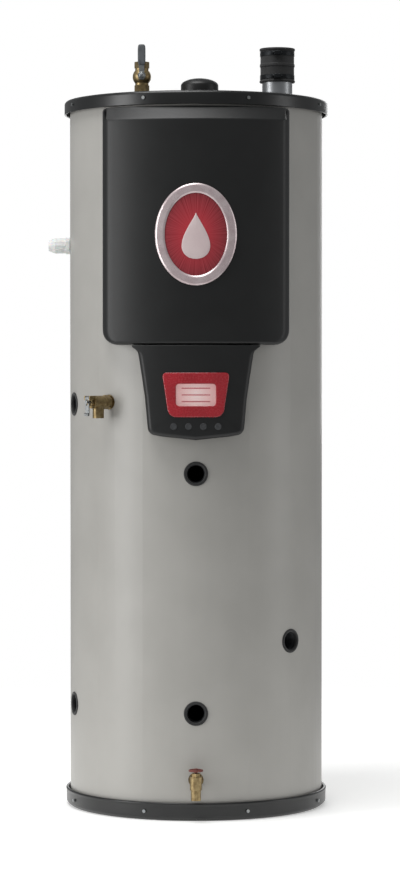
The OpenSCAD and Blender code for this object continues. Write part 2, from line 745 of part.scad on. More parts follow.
module blower_housing() color("#3d4043") difference() {
    union() {
        beam(blower[0], blower[1], blower_y[0], blower_y[1], blower_r);
        slab([hx - 31, 64, door_z1 + 4], [hx + 31, 126, blower[1]]);
        slab([hx - 42, 53, door_z1 + 0.2], [hx + 42, 137, door_z1 + 7]);
    }
    beam(blower[0], blower[1], blower_y[0] + 4, blower_y[1] - 4, blower_r - 4);
    slab([hx - 27, 68, door_z1 + 6], [hx + 27, 122, blower[1]]);
    post(hx, hy, door_z1 - 1, door_z1 + 8, 27);
    beam(blower[0], blower[1], blower_y[0] - 1, blower_y[0] + 5, 30);
    beam(blower[0], blower[1], blower_y[1] - 5, blower_y[1] + 1, 8);
}

module blower_motor() color("#1c1d1e") difference() {
    union() {
        beam(blower[0], blower[1], blower_y[1] + 0.2, 182, 46);
        for (y = [138 : 10 : 178]) beam(blower[0], blower[1], y, y + 4, 49);
        beam(blower[0], blower[1], 181, 194, 30);
    }
    beam(blower[0], blower[1], blower_y[1], 178, 5.06);
}

module blower_wheel() color("#c4c6c8") {
    beam(blower[0], blower[1], 72, 118, 14);
    beam(blower[0], blower[1], 115, 176, 5);
    beam(blower[0], blower[1], 112, 115, 74);
    for (a = [0 : 30 : 330]) translate([blower[0], 0, blower[1]]) rotate([0, a, 0])
        slab([34, 76, -1.2], [73, 113, 1.2]);
    difference() {
        beam(blower[0], blower[1], 73, 76.5, 74);
        beam(blower[0], blower[1], 72, 78, 34);
    }
}

module gas_control() color("#8f9295") {
    difference() {
        union() {
            beam(blower[0], blower[1], 14, blower_y[0] - 0.2, 36);
            slab([-gas_x - 35, -35, gas_block_z[0]], [-gas_x + 35, 35, gas_block_z[1] - 0.1]);
            for (z = [gas_block_z[0] + 19, gas_block_z[1] - 19]) beam(-gas_x, z, -62, -34, 17);
            translate([-gas_x + 34, 25, gas_out_z]) rotate([0, 90, 0]) cylinder(r = 9, h = blower[0] + gas_x - 34);
            translate([blower[0], 25, gas_out_z]) sphere(r = 9);
            post(blower[0], 25, gas_out_z, 1815, 9);
        }
        beam(blower[0], blower[1], 10, blower_y[0] + 1, 27);
        post(-gas_x, 0, gas_block_z[0] + 20, gas_block_z[1] + 1, 10);
    }
}

module pump_body() color("#4a4d50") difference() {
    union() {
        beam(pump[0], pump[2], pump[1] - 22, pump[1] + 22, 50);
        post(pump[0], pump[1], pump[2] - 64, pump[2] + 64, 17);
    }
    beam(pump[0], pump[2], pump[1] - 23, pump[1] + 17, 42);
    post(pump[0], pump[1], pump[2] - 65, pump[2] + 65, 9.9);
}

module pump_motor() color("#8c2a2a") difference() {
    union() {
        beam(pump[0], pump[2], pump[1] - 90, pump[1] - 22.2, 45);
        beam(pump[0], pump[2], pump[1] - 96, pump[1] - 89, 18);
        slab([pump[0] - 30, pump[1] - 84, pump[2] + 36], [pump[0] + 30, pump[1] - 30, pump[2] + 62]);
    }
    beam(pump[0], pump[2], pump[1] - 70, pump[1] - 20, 4.06);
}

module pump_impeller() color("#c9b68a") {
    beam(pump[0], pump[2], pump[1] - 68, pump[1] + 8, 4);
    beam(pump[0], pump[2], pump[1] - 12, pump[1] - 9, 38);
    for (a = [0 : 60 : 300]) translate([pump[0], 0, pump[2]]) rotate([0, a, 0])
        slab([10, pump[1] - 10, -1.5], [37, pump[1] + 8, 1.5]);
    beam(pump[0], pump[2], pump[1] - 10, pump[1] + 10, 12);
}

// Level pipe from a corner to the heat exchanger's wall, with a ball elbow at the corner
module feed(p, z, r) {
    turn = atan2(hy - p[1], hx - p[0]);
    reach = norm([hx - p[0], hy - p[1]]) - hx_r - 0.3;
    translate([p[0], p[1], z]) rotate([0, 0, turn]) bar(0, reach, r);
    translate([p[0], p[1], z]) sphere(r = r + 2);
}

module water_pipes() color("#b06a44") {
    post_tube(pump[0], pump[1], 1195, pump[2] - 64.1, pipe_r, pipe_r - pipe_t);
    post(pump[0], pump[1], pump[2] + 64.1, feed_z, pipe_r);
    feed(pump, feed_z, pipe_r);
    post(return_xy[0], return_xy[1], 1195, return_z, pipe_r);
    feed(return_xy, return_z, pipe_r);
}

module control_box() color("#6f7174") difference() {
    union() {
        slab([box_x[0], box_y[1] - 2, deck_z + deck_t], [box_x[1], box_y[1], box_z[1]]);
        slab([box_x[0], box_y[0], box_z[0]], [box_x[1], box_y[1] - 1, box_z[1]]);
        slab([box_x[0], box_y[1] - 40, deck_z + deck_t], [box_x[1], box_y[1], deck_z + deck_t + 2]);
    }
    slab([box_x[0] + 1.5, box_y[0] - 1, box_z[0] + 1.5], [box_x[1] - 1.5, box_y[1] - 2, box_z[1] - 1.5]);
    slab([box_x[0] + 30, box_y[1] - 10, deck_z + 60], [box_x[1] - 30, box_y[1] + 5, box_z[0] - 30]);
}

module control_board() color("#256a45") {
    x0 = box_x[0] + 8;
    x1 = box_x[1] - 8;
    y = box_y[1] - 12;
    slab([x0, y - 1.6, box_z[0] + 12], [x1, y, box_z[1] - 12]);
    for (sx = [x0 + 6, x1 - 6], z = [box_z[0] + 20, box_z[1] - 20]) beam(sx, z, y - 0.1, box_y[1] - 2, 3);
    for (i = [0 : 3]) slab([x0 + 8 + 29 * i, y - 18, box_z[0] + 190], [x0 + 30 + 29 * i, y - 1.5, box_z[0] + 222]);
    slab([x0 + 10, y - 14, box_z[0] + 20], [x1 - 10, y - 1.5, box_z[0] + 34]);
    slab([x0 + 12, y - 44, box_z[0] + 54], [x0 + 72, y - 1.5, box_z[0] + 108]);
    for (i = [0 : 2]) beam(x1 - 20, box_z[0] + 64 + 26 * i, y - 30, y - 1.5, 9);
    slab([x0 + 30, y - 4, box_z[0] + 130], [x0 + 62, y - 1.5, box_z[0] + 162]);
    slab([x0 + 10, y - 12, box_z[1] - 40], [x1 - 10, y - 1.5, box_z[1] - 28]);
}

base_pan();
jacket();
top_cap();
jacket_screws();
front_cover();
badge_rim();
badge_field();
cover_studs();
stud_clips();
console_housing();
display_bezel();
display_window();
display_board();
key_menu();
key_down();
key_up();
key_enter();
port_grommets();
tank_spuds();
small_spuds();
tp_body();
tp_stem();
tp_lever();
drain_body();
drain_washer();
drain_handwheel();
gas_cock_body();
gas_cock_ball();
gas_cock_handle();
gas_pipe();
intake_hood();
vent_pipe();
vent_sleeve();
vent_clamps();
power_gland();
condensate_pipe();
tank_shell();
tank_head_top();
tank_head_bottom();
tank_skirt();
insulation();
anode_rod();
inlet_diffuser();
temperature_probes();
deck_plate();
heat_exchanger();
flue_collector();
burner_door();
burner_tube();
electrodes();
blower_housing();
blower_motor();
blower_wheel();
gas_control();
pump_body();
pump_motor();
pump_impeller();
water_pipes();
control_box();
control_board();
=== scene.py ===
"""Looks of a floor-standing tank water heater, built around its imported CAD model."""
import json
import math

import bmesh
import bpy
import numpy as np
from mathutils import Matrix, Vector


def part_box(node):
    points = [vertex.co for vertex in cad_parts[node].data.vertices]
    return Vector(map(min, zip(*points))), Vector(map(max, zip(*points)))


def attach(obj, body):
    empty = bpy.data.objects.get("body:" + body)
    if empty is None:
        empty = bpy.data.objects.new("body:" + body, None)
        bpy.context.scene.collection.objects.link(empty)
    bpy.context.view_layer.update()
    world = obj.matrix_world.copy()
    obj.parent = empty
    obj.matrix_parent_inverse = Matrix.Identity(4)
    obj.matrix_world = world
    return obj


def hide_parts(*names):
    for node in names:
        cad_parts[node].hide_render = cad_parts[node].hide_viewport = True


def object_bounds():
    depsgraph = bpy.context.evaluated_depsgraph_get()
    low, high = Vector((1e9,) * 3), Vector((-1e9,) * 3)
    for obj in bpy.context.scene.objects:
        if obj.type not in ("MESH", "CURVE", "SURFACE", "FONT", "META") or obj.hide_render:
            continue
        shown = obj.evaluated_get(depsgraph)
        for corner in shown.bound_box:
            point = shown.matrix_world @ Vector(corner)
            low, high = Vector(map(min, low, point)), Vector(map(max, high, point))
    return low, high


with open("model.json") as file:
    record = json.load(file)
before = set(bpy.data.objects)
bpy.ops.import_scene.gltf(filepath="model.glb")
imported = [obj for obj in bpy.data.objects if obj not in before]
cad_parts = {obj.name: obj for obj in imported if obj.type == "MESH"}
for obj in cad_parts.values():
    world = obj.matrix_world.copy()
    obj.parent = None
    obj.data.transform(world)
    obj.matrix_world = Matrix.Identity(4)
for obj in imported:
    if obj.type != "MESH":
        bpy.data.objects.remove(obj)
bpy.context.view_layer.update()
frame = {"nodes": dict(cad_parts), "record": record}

MM = 0.001
TURN = 2 * math.pi
MOUNTS = {m["name"]: m for m in frame["record"]["mounts"]}

# Places that the frame gives
JACKET_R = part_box("jacket")[1].x
SEAT_R = JACKET_R + 0.4 * MM           # mouldings rest this far from the jacket's axis
COVER_LO, COVER_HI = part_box("front_cover")
CONSOLE_LO, CONSOLE_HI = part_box("console_housing")
BEZEL_LO, BEZEL_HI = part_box("display_bezel")
BEZEL_FOOT = BEZEL_HI.x - 18 * MM      # half width of the surround at its narrow foot
WINDOW_LO, WINDOW_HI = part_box("display_window")
RIM_LO, RIM_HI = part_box("badge_rim")
FIELD_LO, FIELD_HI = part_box("badge_field")

# The moulded cover and console
BOW_R = 480 * MM                       # radius of the bowed face
BOW_Y = COVER_LO.y + BOW_R             # its axis
WALL = 3 * MM
ARC_STEPS = 6                          # segments of each rounded edge

# The studio
FLOOR_REACH = 3.2
FLOOR_GLOW = 0.4                       # the floor's own light, which lifts it to the backdrop's white
SCREEN_GLOW = 0.45                     # the display's back light
EYE = (0.011, -8.2, 1.2)
AIM = (0.011, 0, 1.0245)
SENSOR_WIDTH = 36.0
LENS = 118.3


# ---------------------------------------------------------------- surfaces

def smooth_step(t):
    """0 to 1 with level ends: 3t^2 - 2t^3, t held between 0 and 1."""
    t = np.clip(t, 0, 1)
    return t * t * (3 - 2 * t)


def rounded(corners, radii, steps=ARC_STEPS, closed=False):
    """A polyline's corners turned into arcs. An arc of radius r touches both sides of its corner, so it
    starts r / tan(half the corner's angle) before it, and its centre is r / sin(half angle) along the
    bisector."""
    corners = np.asarray(corners, float)
    count = len(corners)
    line = []
    for i, (corner, radius) in enumerate(zip(corners, radii)):
        if radius == 0 or (not closed and i in (0, count - 1)):
            line.append(corner[None])
            continue
        to_last = corners[i - 1] - corner
        to_next = corners[(i + 1) % count] - corner
        to_last /= np.linalg.norm(to_last)
        to_next /= np.linalg.norm(to_next)
        half = math.acos(np.clip(to_last @ to_next, -1, 1)) / 2
        middle = to_last + to_next
        centre = corner + middle / np.linalg.norm(middle) * radius / math.sin(half)
        touch = corner + np.stack([to_last, to_next]) * radius / math.tan(half) - centre
        start, end = np.arctan2(touch[:, 1], touch[:, 0])
        sweep = (end - start + math.pi) % TURN - math.pi
        angle = start + sweep * np.linspace(0, 1, steps + 1)
        line.append(centre + radius * np.stack([np.cos(angle), np.sin(angle)], -1))
    return np.concatenate(line)


def grid_faces(rows, columns, wrap_rows, wrap_columns):
    """Quads between the neighbours of a grid whose rows or columns may close on themselves."""
    spans = np.arange(rows - (not wrap_rows)), np.arange(columns - (not wrap_columns))
    i, j = np.meshgrid(*spans, indexing="ij")
    k, m = (i + 1) % rows, (j + 1) % columns
    return np.stack([i * columns + j, k * columns + j, k * columns + m, i * columns + m], -1).reshape(-1, 4)


def skin(grid, wrap_rows=True, wrap_columns=True):
    """A grid of points (rows, columns, 3) as a surface: its points and its faces."""
    return grid.reshape(-1, 3), grid_faces(*grid.shape[:2], wrap_rows, wrap_columns)


def joined(parts):
    """Several surfaces as one: points one after another, faces counted on from the points before."""
    starts = np.cumsum([0] + [len(points) for points, _ in parts])
    points = np.concatenate([points for points, _ in parts])
    return points, np.concatenate([faces + start for (_, faces), start in zip(parts, starts)])


def lathe(profile, segments=96, closed=True):
    """Surface of revolution: each (radius, height) point of the profile carried round the Z axis."""
    radius, height = np.asarray(profile, float).T
    angle = np.linspace(0, TURN, segments, endpoint=False)[:, None]
    grid = np.stack([radius * np.cos(angle), radius * np.sin(angle), height + 0 * angle], -1)
    return skin(grid, True, closed)


def laid(part, origin, along=(0, 0, 1), up=(0, 0, 1)):
    """A surface turned so that its Z runs along a direction and its X points up, then moved to origin."""
    axis = Vector(along).normalized()
    side = Vector(up) - axis * axis.dot(Vector(up))
    if side.length < 1e-6:
        side = Vector((1, 0, 0))
    side.normalize()
    turn = np.array([side, axis.cross(side), axis])
    return part[0] @ turn + np.array(origin), part[1]


def block(size, centre=(0, 0, 0), square=0.22, rows=24, columns=48):
    """Rounded block: an ellipsoid whose sines and cosines are raised to a low power, which squares it."""
    def power(value):
        """Sign kept, size raised to the power."""
        return np.sign(value) * np.abs(value) ** square
    up = np.linspace(-math.pi / 2, math.pi / 2, rows)[None, :]
    round_ = np.linspace(0, TURN, columns, endpoint=False)[:, None]
    level = power(np.cos(up))
    unit = np.stack([level * power(np.cos(round_)), level * power(np.sin(round_)),
                     power(np.sin(up)) + 0 * round_], -1)
    return skin(unit * np.array(size) / 2 + np.array(centre), True, False)


def make(name, parts, material, body, stands_for=(), crease=38):
    """A piece from surfaces: doubles merged, faces outwards, smooth except at edges sharper than crease."""
    points, faces = joined(parts)
    mesh = bpy.data.meshes.new(name)
    mesh.from_pydata(points.tolist(), [], faces.tolist())
    shape = bmesh.new()
    shape.from_mesh(mesh)
    bmesh.ops.remove_doubles(shape, verts=shape.verts, dist=2e-6)
    bmesh.ops.dissolve_degenerate(shape, edges=shape.edges, dist=1e-7)
    bmesh.ops.recalc_face_normals(shape, faces=shape.faces)
    shape.to_mesh(mesh)
    shape.free()
    mesh.shade_smooth()
    mesh.set_sharp_from_angle(angle=math.radians(crease))
    mesh.materials.append(material)
    piece = bpy.data.objects.new(name, mesh)
    bpy.context.scene.collection.objects.link(piece)
    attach(piece, body)
    if stands_for:
        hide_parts(*stands_for)
    return piece


# ---------------------------------------------------------------- materials

def srgb(hex_colour):
    """A hex colour as linear red, green, blue and alpha."""
    values = np.array([int(hex_colour[i:i + 2], 16) for i in (0, 2, 4)]) / 255
    linear = np.where(values <= 0.04045, values / 12.92, ((values + 0.055) / 1.055) ** 2.4)
    return (*linear.tolist(), 1.0)


def add(tree, kind, inputs, output=0, **settings):
    """Adds a node with its settings and links, and gives one of its outputs. Each input takes a value or the
    socket that feeds it."""
    node = tree.nodes.new(kind)
    for name, value in settings.items():
        setattr(node, name, value)
    for name, value in inputs.items():
        if isinstance(value, bpy.types.NodeSocket):
            tree.links.new(value, node.inputs[name])
        else:
            node.inputs[name].default_value = value
    return node.outputs[output] if node.outputs else None


# Sockets of a colour Mix node, whose names repeat: its share, its two colours and its result
SHARE, FIRST, SECOND, MIXED = 0, 6, 7, 2


def blank(name):
    """An empty node material, its tree and its Object coordinates."""
    material = bpy.data.materials.new(name)
    material.use_nodes = True
    tree = material.node_tree
    tree.nodes.clear()
    return material, tree, add(tree, "ShaderNodeTexCoord", {}, "Object")


def finish(name, dark, light, patch, grain, depth, rough, metal=0.0, stretch=(1, 1, 1),
           kind="ShaderNodeTexNoise", stain=None, sockets=None):
    """A finish whose tone drifts over patches and whose grain sets both the dents and the roughness.
    patch, grain and depth are millimetres; stretch draws the grain out; stain is a third colour in small
    spots."""
    material, tree, place = blank(name)
    drawn = add(tree, "ShaderNodeMapping", {"Vector": place, "Scale": stretch})
    grains = add(tree, kind, {"Vector": drawn, "Scale": 1 / (grain * MM), "Detail": 3.0})
    clouds = add(tree, "ShaderNodeTexNoise", {"Vector": place, "Scale": 1 / (patch * MM), "Detail": 3.0})
    tone = add(tree, "ShaderNodeMapRange", {"Value": clouds, "From Min": 0.35, "From Max": 0.65})
    colour = add(tree, "ShaderNodeMix", {SHARE: tone, FIRST: srgb(dark), SECOND: srgb(light)}, MIXED,
                 data_type="RGBA")
    if stain:
        blots = add(tree, "ShaderNodeTexNoise", {"Vector": place, "Scale": 3 / (patch * MM), "Detail": 6.0})
        spots = add(tree, "ShaderNodeMapRange", {
            "Value": blots, "From Min": 0.6, "From Max": 0.72, "To Max": 0.8})
        colour = add(tree, "ShaderNodeMix", {SHARE: spots, FIRST: colour, SECOND: srgb(stain)}, MIXED,
                     data_type="RGBA")
    dents = add(tree, "ShaderNodeBump", {"Height": grains, "Distance": depth * MM})
    dullness = add(tree, "ShaderNodeMapRange", {
        "Value": grains, "From Min": 0.3, "From Max": 0.7, "To Min": rough[0], "To Max": rough[1]})
    surface = add(tree, "ShaderNodeBsdfPrincipled", {
        "Base Color": colour, "Metallic": metal, "Roughness": dullness, "Normal": dents, **(sockets or {})})
    add(tree, "ShaderNodeOutputMaterial", {"Surface": surface})
    return material


# Powder coat on sheet steel: an orange peel a few millimetres wide gives soft, slightly wavy highlights.
POWDER_COAT = finish("powder_coated_steel", "A3A19C", "A8A6A1", 160, 3.2, 0.03, (0.4, 0.46),
                     sockets={"Coat Weight": 0.1, "Coat Roughness": 0.3})
# Baked black enamel on pressed steel: satin, with a broad soft sheen on every rolled lip.
BLACK_ENAMEL = finish("baked_black_enamel", "0C0D0D", "131414", 60, 2.6, 0.03, (0.3, 0.4),
                      sockets={"Coat Weight": 0.1, "Coat Roughness": 0.22})
# Moulded ABS with a spark-eroded texture, drawn at 1.8 mm as the real 0.3 mm would not show: dull and even.
MOULDED_ABS = finish("moulded_black_abs", "0B0C0C", "101111", 70, 1.8, 0.05, (0.42, 0.5))
# Silver lacquer on a zinc casting: bright and faintly pink, its metal flake dulled by the clear coat.
SILVER_LACQUER = finish("silver_lacquered_zinc", "C9B6B8", "D8C9CA", 24, 1.4, 0.02, (0.26, 0.34), metal=0.5,
                        sockets={"Coat Weight": 0.4, "Coat Roughness": 0.15})
# Clear coated silver paint on the drop: a soft pale lustre.
PALE_LACQUER = finish("pale_pearl_lacquer", "DCC8C8", "E2D0CF", 40, 1.2, 0.01, (0.3, 0.36), metal=0.1,
                      sockets={"Coat Weight": 0.6, "Coat Roughness": 0.12})
# Printed polycarbonate overlay: an even red under a glossy skin that is slightly uneven from lamination.
RED_OVERLAY = finish("red_polycarbonate", "9C1723", "A81B28", 60, 6.0, 0.02, (0.24, 0.3),
                     sockets={"Coat Weight": 0.7, "Coat Roughness": 0.08})
# Moulded silicone keys: dull, faintly dusty rubber that lightens at grazing angles.
SILICONE = finish("moulded_silicone", "2B2C2E", "36383A", 8, 0.9, 0.02, (0.55, 0.7),
                  sockets={"Sheen Weight": 0.2, "Sheen Roughness": 0.5})
# EPDM rubber: near black and matt, with a bloom that shows as faint pale clouds.
EPDM_RUBBER = finish("moulded_epdm_rubber", "0E0E0F", "191919", 16, 1.2, 0.06, (0.6, 0.78),
                     sockets={"Sheen Weight": 0.12, "Sheen Roughness": 0.6})
# Phosphated steel sockets: dark crystalline grey and oiled, with painted shade of the deep bore mixed into
# that colour, so they show as nearly black rings.
PHOSPHATE_AND_SHADE = finish("phosphated_steel", "17181A", "26282A", 9, 0.8, 0.03, (0.42, 0.58), metal=0.7)
# Zinc-plated fasteners: bluish silver with a faint yellow cast from the passivation.
ZINC_PLATE = finish("zinc_plated_steel", "8B8F94", "A9ABA8", 5, 0.7, 0.02, (0.26, 0.4),
                    metal=1.0, stain="9B9480")
# Blackened clamp bands: oiled steel, dark with a soft grey glint along each edge.
BLACKENED = finish("blackened_clamp_steel", "1C1D1F", "2A2C2E", 9, 0.8, 0.02, (0.34, 0.46), metal=0.8)
# Galvanised sheet: spangles about 9 mm wide, each flat crystal a little lighter or darker than the next.
GALVANISED = finish("galvanised_sheet", "7D8184", "999C9E", 9, 9.0, 0.02, (0.34, 0.5), metal=0.9,
                    kind="ShaderNodeTexVoronoi")
# Stainless sheet, rolled and brushed round: fine lines 0.6 mm apart drawn out along the turn.
STAINLESS = finish("brushed_stainless", "A4A6A8", "B8BABB", 50, 0.6, 0.02, (0.34, 0.48),
                   metal=1.0, stretch=(0.08, 0.08, 1))
# Hot-rolled tank steel: blue-grey mill scale with rusty freckles near the welds.
MILL_SCALE = finish("hot_rolled_steel", "3C4044", "565A5E", 70, 2.5, 0.06, (0.45, 0.62),
                    metal=0.8, stain="5B4030")
# Sand-cast brass, tumbled: dull gold with grainy skin and brown tarnish in spots.
CAST_BRASS = finish("sand_cast_brass", "867352", "A6936C", 10, 1.1, 0.05, (0.38, 0.5),
                    metal=1.0, stain="635139")
# Drawn copper tube: pink-orange with browned patches where it has been handled.
COPPER = finish("drawn_copper", "A05F3E", "C07E58", 26, 1.0, 0.02, (0.26, 0.42), metal=1.0, stain="6E4432")
# Black iron pipe: lacquered scale, dark and slightly ropey along the draw.
BLACK_IRON = finish("lacquered_black_iron", "1B1B1C", "2C2B2B", 18, 1.6, 0.06, (0.4, 0.55), metal=0.4)
# Sand-cast iron, dipped in dark paint: pebbly skin with sand grains about 1.4 mm wide.
CAST_IRON = finish("painted_cast_iron", "26292B", "34383A", 20, 1.4, 0.16, (0.5, 0.66), metal=0.2)
# Red machinery enamel on the pump's can: glossy with a soft brush-like flow.
RED_ENAMEL = finish("red_machine_enamel", "761917", "8F211C", 24, 2.4, 0.05, (0.28, 0.42),
                    sockets={"Coat Weight": 0.3, "Coat Roughness": 0.2})
# Die-cast aluminium, shot-blasted: pale and frosty with small bright pits.
CAST_ALUMINIUM = finish("blasted_cast_aluminium", "85888B", "A2A4A6", 22, 1.0, 0.06, (0.38, 0.54), metal=0.95)
# Glass-filled nylon mouldings: dark with faint grey fibre clouds.
GLASS_NYLON = finish("glass_filled_nylon", "1E2021", "2D2F31", 14, 1.0, 0.04, (0.42, 0.56))
# Natural nylon: translucent off-white, waxy; subsurface light softens its edges.
PALE_NYLON = finish("natural_nylon", "D3D4D3", "E4E5E3", 12, 1.2, 0.02, (0.36, 0.48),
                    sockets={"Subsurface Weight": 0.15, "Subsurface Scale": 2 * MM})
# Extruded white PVC: clean and slightly glossy, a little yellower in patches.
WHITE_PVC = finish("extruded_white_pvc", "D9D7CF", "EAE8E2", 30, 1.5, 0.02, (0.28, 0.38))
# Polyurethane foam: straw-coloured skin of cells about 3 mm wide with browner flow marks.
FOAM = finish("blown_polyurethane_foam", "B99E5C", "D5C07F", 40, 3.0, 0.5, (0.8, 0.95),
              kind="ShaderNodeTexVoronoi")
# Glazed porcelain sheath: off-white, glassy, with a faint grey firing tone.
PORCELAIN = finish("glazed_porcelain", "D5D0C4", "E6E2D8", 9, 1.0, 0.01, (0.12, 0.2),
                   sockets={"Coat Weight": 0.5})
# Black motor enamel over laminations: fine rings 0.8 mm apart catch the light.
MOTOR_ENAMEL = finish("black_motor_enamel", "131415", "1D1E1F", 20, 0.8, 0.05, (0.34, 0.48),
                      stretch=(0.1, 1, 0.1))
# Heat-resistant amber plastic of the impeller.
AMBER_PLASTIC = finish("amber_polysulphone", "8D7646", "A68D59", 8, 0.8, 0.02, (0.3, 0.42))
# Grey polyester paint on the control box: a fine wrinkle about 1.5 mm wide.
GREY_PAINT = finish("grey_wrinkle_paint", "5C5F62", "6B6E71", 30, 1.5, 0.12, (0.5, 0.64))
# Blued burner steel: straw and violet temper colours on woven fibre over the tube.
TEMPERED = finish("heat_tempered_steel", "6A5A5E", "9A8A6E", 28, 1.6, 0.08, (0.4, 0.55),
                  metal=0.9, stain="54526A")
# Dipped vinyl on the handles: soft grey skin with slow runs.
VINYL = finish("dipped_grey_vinyl", "4E5154", "5E6164", 18, 3.0, 0.05, (0.36, 0.48))
# Red handwheel paint, thin and worn to metal grey in spots.
HAND_RED = finish("worn_red_paint", "5E2A24", "74352C", 10, 1.0, 0.06, (0.42, 0.58), stain="6E6A66")


def red_enamel_field():
    """Transparent red enamel over a sunray-brushed plate: deep red with a glossy clear top. Painted shade
    darkens the red towards the rim, and painted glints of pale pink lie along the rays. The sunray is a noise
    read round the badge's centre, 2 degrees a ray."""
    material, tree, place = blank("transparent_red_enamel")
    size, middle = FIELD_HI - FIELD_LO, (FIELD_LO + FIELD_HI) / 2
    centred = add(tree, "ShaderNodeMapping", {"Vector": place, "Location": (0, 0, -middle.z)})
    unit = add(tree, "ShaderNodeVectorMath", {0: centred, 1: (2 / size.x, 0, 2 / size.z)},
               operation="MULTIPLY")
    reach = add(tree, "ShaderNodeVectorMath", {0: unit}, "Value", operation="LENGTH")
    axes = add(tree, "ShaderNodeSeparateXYZ", {"Vector": centred}).node.outputs
    angle = add(tree, "ShaderNodeMath", {0: axes["Z"], 1: axes["X"]}, operation="ARCTAN2")
    rays = add(tree, "ShaderNodeTexNoise", {"W": angle, "Scale": 28.0, "Detail": 2.0}, noise_dimensions="1D")
    # Painted shade: the red darkens from the middle out to the rim
    rim = add(tree, "ShaderNodeMapRange", {"Value": reach, "From Min": 0.3, "From Max": 1.0})
    depth = add(tree, "ShaderNodeMix", {SHARE: rim, FIRST: srgb("C42433"), SECOND: srgb("7C0F1C")}, MIXED,
                data_type="RGBA")
    # Painted glint: pale pink mixed into the red along the brighter rays
    painted_glint = add(tree, "ShaderNodeMapRange", {
        "Value": rays, "From Min": 0.3, "From Max": 0.7, "To Max": 0.35})
    shaded_and_glinted_red = add(tree, "ShaderNodeMix", {SHARE: painted_glint, FIRST: depth, SECOND: srgb("E2606A")}, MIXED,
                data_type="RGBA")
    brushed = add(tree, "ShaderNodeMapRange", {
        "Value": rays, "From Min": 0.3, "From Max": 0.7, "To Min": 0.28, "To Max": 0.4})
    glass = add(tree, "ShaderNodeBsdfPrincipled", {
        "Base Color": shaded_and_glinted_red, "Metallic": 0.3, "Roughness": brushed, "Coat Weight": 0.9,
        "Coat Roughness": 0.06})
    add(tree, "ShaderNodeOutputMaterial", {"Surface": glass})
    return material


def lit_screen():
    """Backlit liquid crystal behind the window: a pale warm field, brighter in the middle, with rows of
    plain dark bars 3 mm high that stand for readings."""
    material, tree, place = blank("backlit_screen")
    size, middle = WINDOW_HI - WINDOW_LO, (WINDOW_LO + WINDOW_HI) / 2
    centred = add(tree, "ShaderNodeMapping", {"Vector": place, "Location": (0, 0, -middle.z)})
    flat = add(tree, "ShaderNodeVectorMath", {0: centred, 1: (1, 0, 1)}, operation="MULTIPLY")
    reach = add(tree, "ShaderNodeVectorMath", {0: flat}, "Value", operation="LENGTH")
    axes = add(tree, "ShaderNodeSeparateXYZ", {"Vector": centred}).node.outputs
    rows = add(tree, "ShaderNodeMath", {0: axes["Z"], 1: 9 * MM}, operation="PINGPONG")
    bars = add(tree, "ShaderNodeMath", {0: rows, 1: 1.6 * MM}, operation="LESS_THAN")
    ends = add(tree, "ShaderNodeMath", {0: axes["X"]}, operation="ABSOLUTE")
    inside = add(tree, "ShaderNodeMath", {0: ends, 1: 0.36 * size.x}, operation="LESS_THAN")
    marks = add(tree, "ShaderNodeMath", {0: bars, 1: inside}, operation="MULTIPLY")
    fade = add(tree, "ShaderNodeMapRange", {
        "Value": reach, "From Min": 0.1 * size.z, "From Max": 0.8 * size.x})
    glow = add(tree, "ShaderNodeMix", {SHARE: fade, FIRST: srgb("F6E4E2"), SECOND: srgb("D58F90")}, MIXED,
               data_type="RGBA")
    shown = add(tree, "ShaderNodeMix", {SHARE: marks, FIRST: glow, SECOND: srgb("B8686E")}, MIXED,
                data_type="RGBA")
    crystal = add(tree, "ShaderNodeBsdfPrincipled", {
        "Base Color": shown, "Roughness": 0.35, "Emission Color": shown, "Emission Strength": SCREEN_GLOW})
    add(tree, "ShaderNodeOutputMaterial", {"Surface": crystal})
    return material


def circuit_board(name, front):
    """Glass-epoxy board: green solder mask with lighter tracks every 4 mm on the plate itself, and dark
    mouldings and pale connectors on everything that stands in front of it."""
    material, tree, place = blank(name)
    cells = add(tree, "ShaderNodeTexVoronoi", {"Vector": place, "Scale": 1 / (4 * MM), "Detail": 3.0})
    tracks = add(tree, "ShaderNodeMapRange", {"Value": cells, "From Min": 0.3, "From Max": 0.42})
    board = add(tree, "ShaderNodeMix", {SHARE: tracks, FIRST: srgb("2C7A4C"), SECOND: srgb("17492D")},
                MIXED, data_type="RGBA")
    fields = add(tree, "ShaderNodeTexNoise", {"Vector": place, "Scale": 1 / (34 * MM), "Detail": 0.0})
    kinds = add(tree, "ShaderNodeMapRange", {"Value": fields, "From Min": 0.46, "From Max": 0.5})
    parts = add(tree, "ShaderNodeMix", {SHARE: kinds, FIRST: srgb("17181A"), SECOND: srgb("6E7478")},
                MIXED, data_type="RGBA")
    axes = add(tree, "ShaderNodeSeparateXYZ", {"Vector": place}).node.outputs
    raised = add(tree, "ShaderNodeMath", {0: axes["Y"], 1: front}, operation="LESS_THAN")
    colour = add(tree, "ShaderNodeMix", {SHARE: raised, FIRST: board, SECOND: parts}, MIXED,
                 data_type="RGBA")
    specks = add(tree, "ShaderNodeTexNoise", {"Vector": place, "Scale": 1 / (1.5 * MM), "Detail": 3.0})
    dullness = add(tree, "ShaderNodeMapRange", {
        "Value": specks, "From Min": 0.3, "From Max": 0.7, "To Min": 0.35, "To Max": 0.5})
    surface = add(tree, "ShaderNodeBsdfPrincipled", {
        "Base Color": colour, "Coat Weight": 0.3, "Roughness": dullness})
    add(tree, "ShaderNodeOutputMaterial", {"Surface": surface})
    return material


